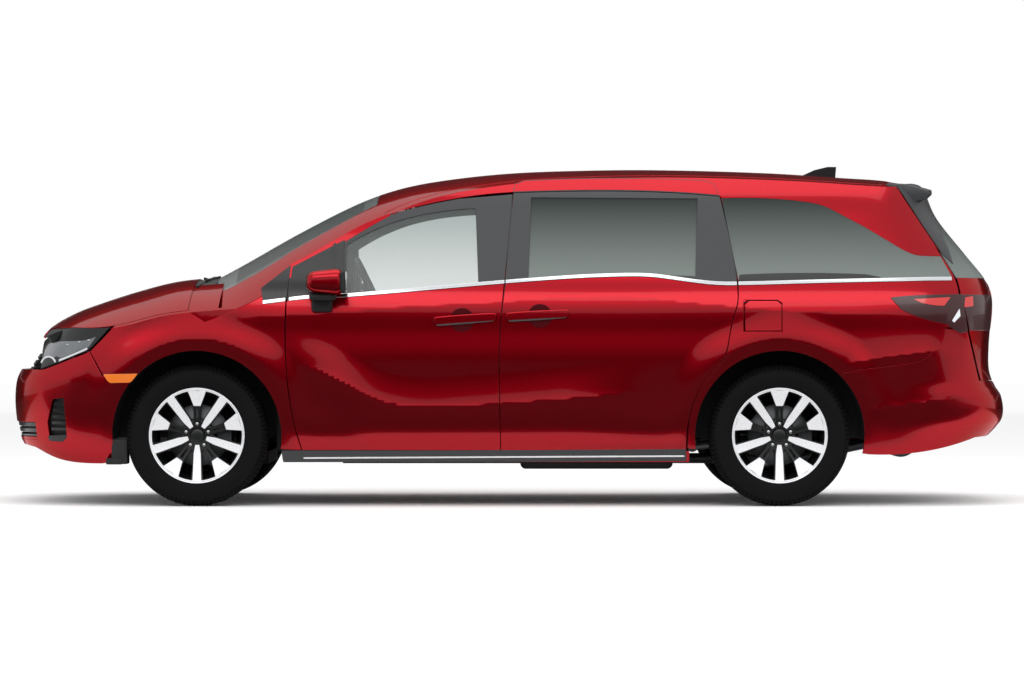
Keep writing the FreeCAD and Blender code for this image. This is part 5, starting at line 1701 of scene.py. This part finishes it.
@dataclass
class SideDetails:
    """Handles, mirrors, fuel door, sills and splash guards."""

    def handle(self, bar: Points, cup: tuple[float, float], mirror: bool, body: Body, name: str) -> None:
        """Pull handle over its cup, drawn as a flat disc in darker red: painted shade of the recess.

        Args:
            bar: Left and right ends of the bar, as seen in the photograph.
            cup: Middle of the cup, as seen in the photograph.
            mirror: Whether it is on the right.
            body: The body it rides on.
            name: Name's ending.
        """
        (x1, z1), (x2, z2) = seen(bar, -1010)
        cx, cz = seen([cup], -990)[0]
        # The cup is a flat disc in darker red over the skin: painted shade of the recess behind the handle.
        cup_shade = panel(ring_of(cx, cz, 62, 60, 28), step=7, lift=2.6, depth=2, roll=0.8)
        piece("handle_cup_" + name, [cup_shade.build(mirror)], CUP_PAINTED_SHADE, body)
        xm, zm = (x1 + x2) / 2, (z1 + z2) / 2
        grip = Outline([[(x1 - 3, z1 + 8), (xm, zm + 10), (x2 + 3, z2 + 6)], [(x2 + 6, z2 - 6)],
                        [(x2 + 3, z2 - 21), (xm, zm - 20), (x1 - 3, z1 - 20)], [(x1 - 6, z1 - 6)]])
        piece("handle_bar_" + name, [Sheet(SIDE, grip, step=5, lift=26, depth=14, roll=6).build(mirror)],
              PAINT, body)
        under = Outline([[(x1 + 3, z1 - 19), (xm, zm - 19), (x2 - 2, z2 - 20)],
                         [(x2 - 6, z2 - 27), (xm, zm - 29), (x1 + 9, z1 - 28)]])
        piece("handle_under_" + name, [Sheet(SIDE, under, step=5, lift=19, depth=17, roll=4).build(mirror)],
              GRIP_GREY, body)

    def mirror(self, flip: bool, body: Body, name: str) -> None:
        """Door mirror: painted cap, black rim and foot, and the glass.

        Args:
            flip: Whether it is on the right.
            body: The body it rides on.
            name: Name's ending.
        """
        hood = tapered((-1032, -1182, 1082), (-842, -1000, 1224), 46)
        cap = piece("mirror_cap_" + name, [turned_over(hood, flip)], PAINT, body)
        dark = [tapered((-862, -1178, 1090), (-832, -1004, 1216), 14),
                rounded((-1020, -1130, 1058), (-884, -985, 1096), 18, 5),
                rounded((-1012, -1040, 1000), (-905, -972, 1072), 18, 5)]
        piece("mirror_foot_" + name, [turned_over(part, flip) for part in dark], PLASTIC, body)
        glass = rounded((-834, -1166, 1102), (-828, -1016, 1204), 2.5, 3)
        piece("mirror_glass_" + name, [turned_over(glass, flip)], CHROME, body)
        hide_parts("mirror_" + name)

    def build(self) -> None:
        """Make the details of both sides."""
        for side, flip, door in (("L", False, Body.DOOR_L), ("R", True, Body.DOOR_R)):
            self.handle([(435.7, 319.7), (494, 315.4)], (462, 320), flip, door, "door_" + side)
            self.handle([(508, 315.6), (566.8, 312)], (540, 316), flip, Body.SHELL, "slider_" + side)
            self.mirror(flip, door, side)
        lid = panel([(1216, 904), (1216, 1036)], [(1240, 1055), (1376, 1055)], [(1400, 1036), (1400, 904)],
                    step=9, lift=1.9, depth=5)
        piece("fuel_door_skin", [lid], PAINT, Body.FUEL)
        sill = panel([(-1168, 284), (-400, 285), (300, 288), (910, 292)],
                     [(914, 236), (300, 232), (-400, 230), (-1160, 229)], step=10, lift=4, depth=18, roll=3)
        piece("sill_covers", sill.both(), SILL_GREY)
        line = panel([(-1056, 253), (904, 263)], [(904, 257), (-1056, 247)], step=7, lift=8, depth=5,
                     roll=1.5)
        piece("sill_lines", line.both(), CHROME)
        guards = [turned_over(rounded(low, high, 6, 3), flip)
                  for low, high in (((-2075, -930, 214), (-1990, -780, 246)),
                                    ((-2046, -925, 216), (-1964, -800, 345)))
                  for flip in (False, True)]
        piece("splash_guards", guards, PLASTIC)


@dataclass
class Studio:
    """Camera, lamps, world and floor."""

    lens: float = 147.9
    sensor: float = 36.0
    card_wide: float = 70.0

    def camera(self) -> None:
        """Camera level at the photograph's place."""
        data = bpy.data.cameras.new("camera")
        data.lens, data.sensor_width = self.lens, self.sensor
        data.clip_end = 200
        camera = bpy.data.objects.new("camera", data)
        camera.location = Vector((CAMERA_X, -CAMERA_BACK, CAMERA_HIGH)) * MM
        camera.rotation_euler = (math.pi / 2, 0, 0)
        bpy.context.scene.collection.objects.link(camera)
        bpy.context.scene.camera = camera

    def plate(self, name: str, place: Matrix, level: float, roughness: float) -> bpy.types.Object:
        """Flat plate of the stage.

        Args:
            name: Its name.
            place: Its size and place, from a square of one metre.
            level: Its grey, as an 8-bit sRGB level.
            roughness: Its roughness.

        Returns:
            The plate.
        """
        sheet = bmesh.new()
        bmesh.ops.create_grid(sheet, x_segments=2, y_segments=2, size=0.5)
        bmesh.ops.transform(sheet, verts=sheet.verts, matrix=place)
        mesh = bpy.data.meshes.new(name)
        sheet.to_mesh(mesh)
        sheet.free()
        obj = bpy.data.objects.new(name, mesh)
        bpy.context.scene.collection.objects.link(obj)
        material = bpy.data.materials.new(name)
        material.use_nodes = True
        shader = material.node_tree.nodes["Principled BSDF"]
        shader.inputs["Base Color"].default_value = rgb(level, level, level)
        shader.inputs["Roughness"].default_value = roughness
        mesh.materials.append(material)
        return obj

    def floor(self) -> None:
        """Pale floor that shows white and keeps the shadow."""
        self.plate("floor", Matrix.Diagonal((120, 120, 1, 1)), 254, 0.9)

    def card(self, middle: Spot, tall: float, upright: bool) -> None:
        """Dark card beside the set, seen in the paint alone.

        Args:
            middle: Its place, in metres.
            tall: Its height, or its depth where it lies.
            upright: Whether it stands.
        """
        turn = Matrix.Rotation(math.pi / 2 if upright else 0, 4, "X")
        place = Matrix.Translation(middle) @ turn @ Matrix.Diagonal((self.card_wide, tall, 1, 1))
        card = self.plate("card", place, 30, 0.5)
        card.visible_camera = card.visible_diffuse = card.visible_shadow = card.visible_transmission = False

    def world(self) -> None:
        """White background, mixed from two backgrounds that are both plain white at strength one: one for the
        light it gives, one for camera, glossy and transmission rays.
        """
        world = bpy.data.worlds.new("world")
        bpy.context.scene.world = world
        world.use_nodes = True
        tree = world.node_tree
        tree.nodes.clear()
        path = tree.nodes.new("ShaderNodeLightPath")
        direct, shown = (tree.nodes.new("ShaderNodeMath") for _ in range(2))
        direct.operation = shown.operation = "MAXIMUM"
        tree.links.new(path.outputs["Is Camera Ray"], direct.inputs[0])
        tree.links.new(path.outputs["Is Transmission Ray"], direct.inputs[1])
        tree.links.new(direct.outputs[0], shown.inputs[0])
        tree.links.new(path.outputs["Is Glossy Ray"], shown.inputs[1])
        light, white = (tree.nodes.new("ShaderNodeBackground") for _ in range(2))
        for background in (light, white):
            background.inputs["Strength"].default_value = 1.0
            background.inputs["Color"].default_value = (1, 1, 1, 1)
        mix = tree.nodes.new("ShaderNodeMixShader")
        out = tree.nodes.new("ShaderNodeOutputWorld")
        tree.links.new(shown.outputs[0], mix.inputs[0])
        tree.links.new(light.outputs[0], mix.inputs[1])
        tree.links.new(white.outputs[0], mix.inputs[2])
        tree.links.new(mix.outputs[0], out.inputs[0])

    def lamp(self, name: str, place: Spot, size: tuple[float, float], power: float) -> None:
        """Soft area lamp that looks at the vehicle.

        Args:
            name: Its name.
            place: Its place, in metres.
            size: Its width and height.
            power: Its power in watts.
        """
        data = bpy.data.lights.new(name, "AREA")
        data.shape = "RECTANGLE"
        data.size, data.size_y = size
        data.energy = power
        obj = bpy.data.objects.new(name, data)
        obj.location = place
        obj.rotation_euler = (Vector((0, 0, 0.6)) - Vector(place)).to_track_quat("-Z", "Y").to_euler()
        bpy.context.scene.collection.objects.link(obj)

    def build(self) -> None:
        """Set the stage."""
        self.camera()
        self.floor()
        for side in (-1, 1):
            self.card((0, side * 27.0, 1.7), 4.0, True)
            self.card((0, side * 14.2, 0.01), 25.6, False)
        self.card((0, 27.0, 9.0), 10.0, True)
        self.world()
        self.lamp("overhead", (0, -1.0, 7.0), (9.0, 5.0), 220)
        self.lamp("side_soft", (0, -10.0, 6.5), (16.0, 4.0), 420)
        bpy.context.scene.view_settings.view_transform = "Standard"


CAD_FINISH = {"side_frame": PAINT, "fenders": PAINT, "fuel_door": PAINT, "front_bumper": PAINT,
              "rear_bumper": PAINT, "hood": PAINT, "roof_panel": PAINT, "tailgate_glass": PRIVACY_GLASS,
              "tailgate_lamps": SMOKED_RED, "tailgate": PAINT, "front_door": DOOR_TRIM,
              "sliding_doors": DOOR_TRIM, "door_glass": CLEAR_GLASS, "side_glass": PRIVACY_GLASS,
              "tail_lamps": SMOKED_RED, "front_grille": GLOSS_BLACK, "headlamps": GLOSS_BLACK,
              "windscreen": CLEAR_GLASS, "sill_mouldings": SILL_GREY, "mirror": PAINT,
              "antenna_fin": GLOSS_BLACK, "underbody": UNDERSIDE, "engine": ENGINE_GREY, "fuel_tank": PLASTIC,
              "exhaust": STEEL, "dashboard": DASH_SKIN, "seats": SEAT_CLOTH, "rear_floor": UNDERSIDE,
              "steering_wheel": DASH_SKIN, "front_subframe": UNDERSIDE, "rear_suspension": STEEL,
              "front_knuckle": STEEL, "wheel": BLACK_ALLOY, "tyre": RUBBER}


def dress_nodes() -> None:
    """Give each CAD node that shows its finish."""
    for name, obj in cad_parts.items():
        key = max((k for k in CAD_FINISH if name.startswith(k)), key=len)
        obj.data.materials.clear()
        obj.data.materials.append(CAD_FINISH[key].material())


def main() -> None:
    """Build every sub-assembly in order."""
    logging.basicConfig(level=logging.INFO, format="%(message)s")
    dress_nodes()
    SideSkins().build()
    FrontEnd().build()
    RoofAndGlass().build()
    RearEnd().build()
    for name, x, mirror, body in (("FL", FRONT_AXLE, False, "wheel_front_L"),
                                  ("FR", FRONT_AXLE, True, "wheel_front_R"),
                                  ("RL", REAR_AXLE, False, "wheel_rear_L"),
                                  ("RR", REAR_AXLE, True, "wheel_rear_R")):
        Wheel().build(name, x, mirror, body)
    SideDetails().build()
    Studio().build()


if __name__ == "__main__":
    main()
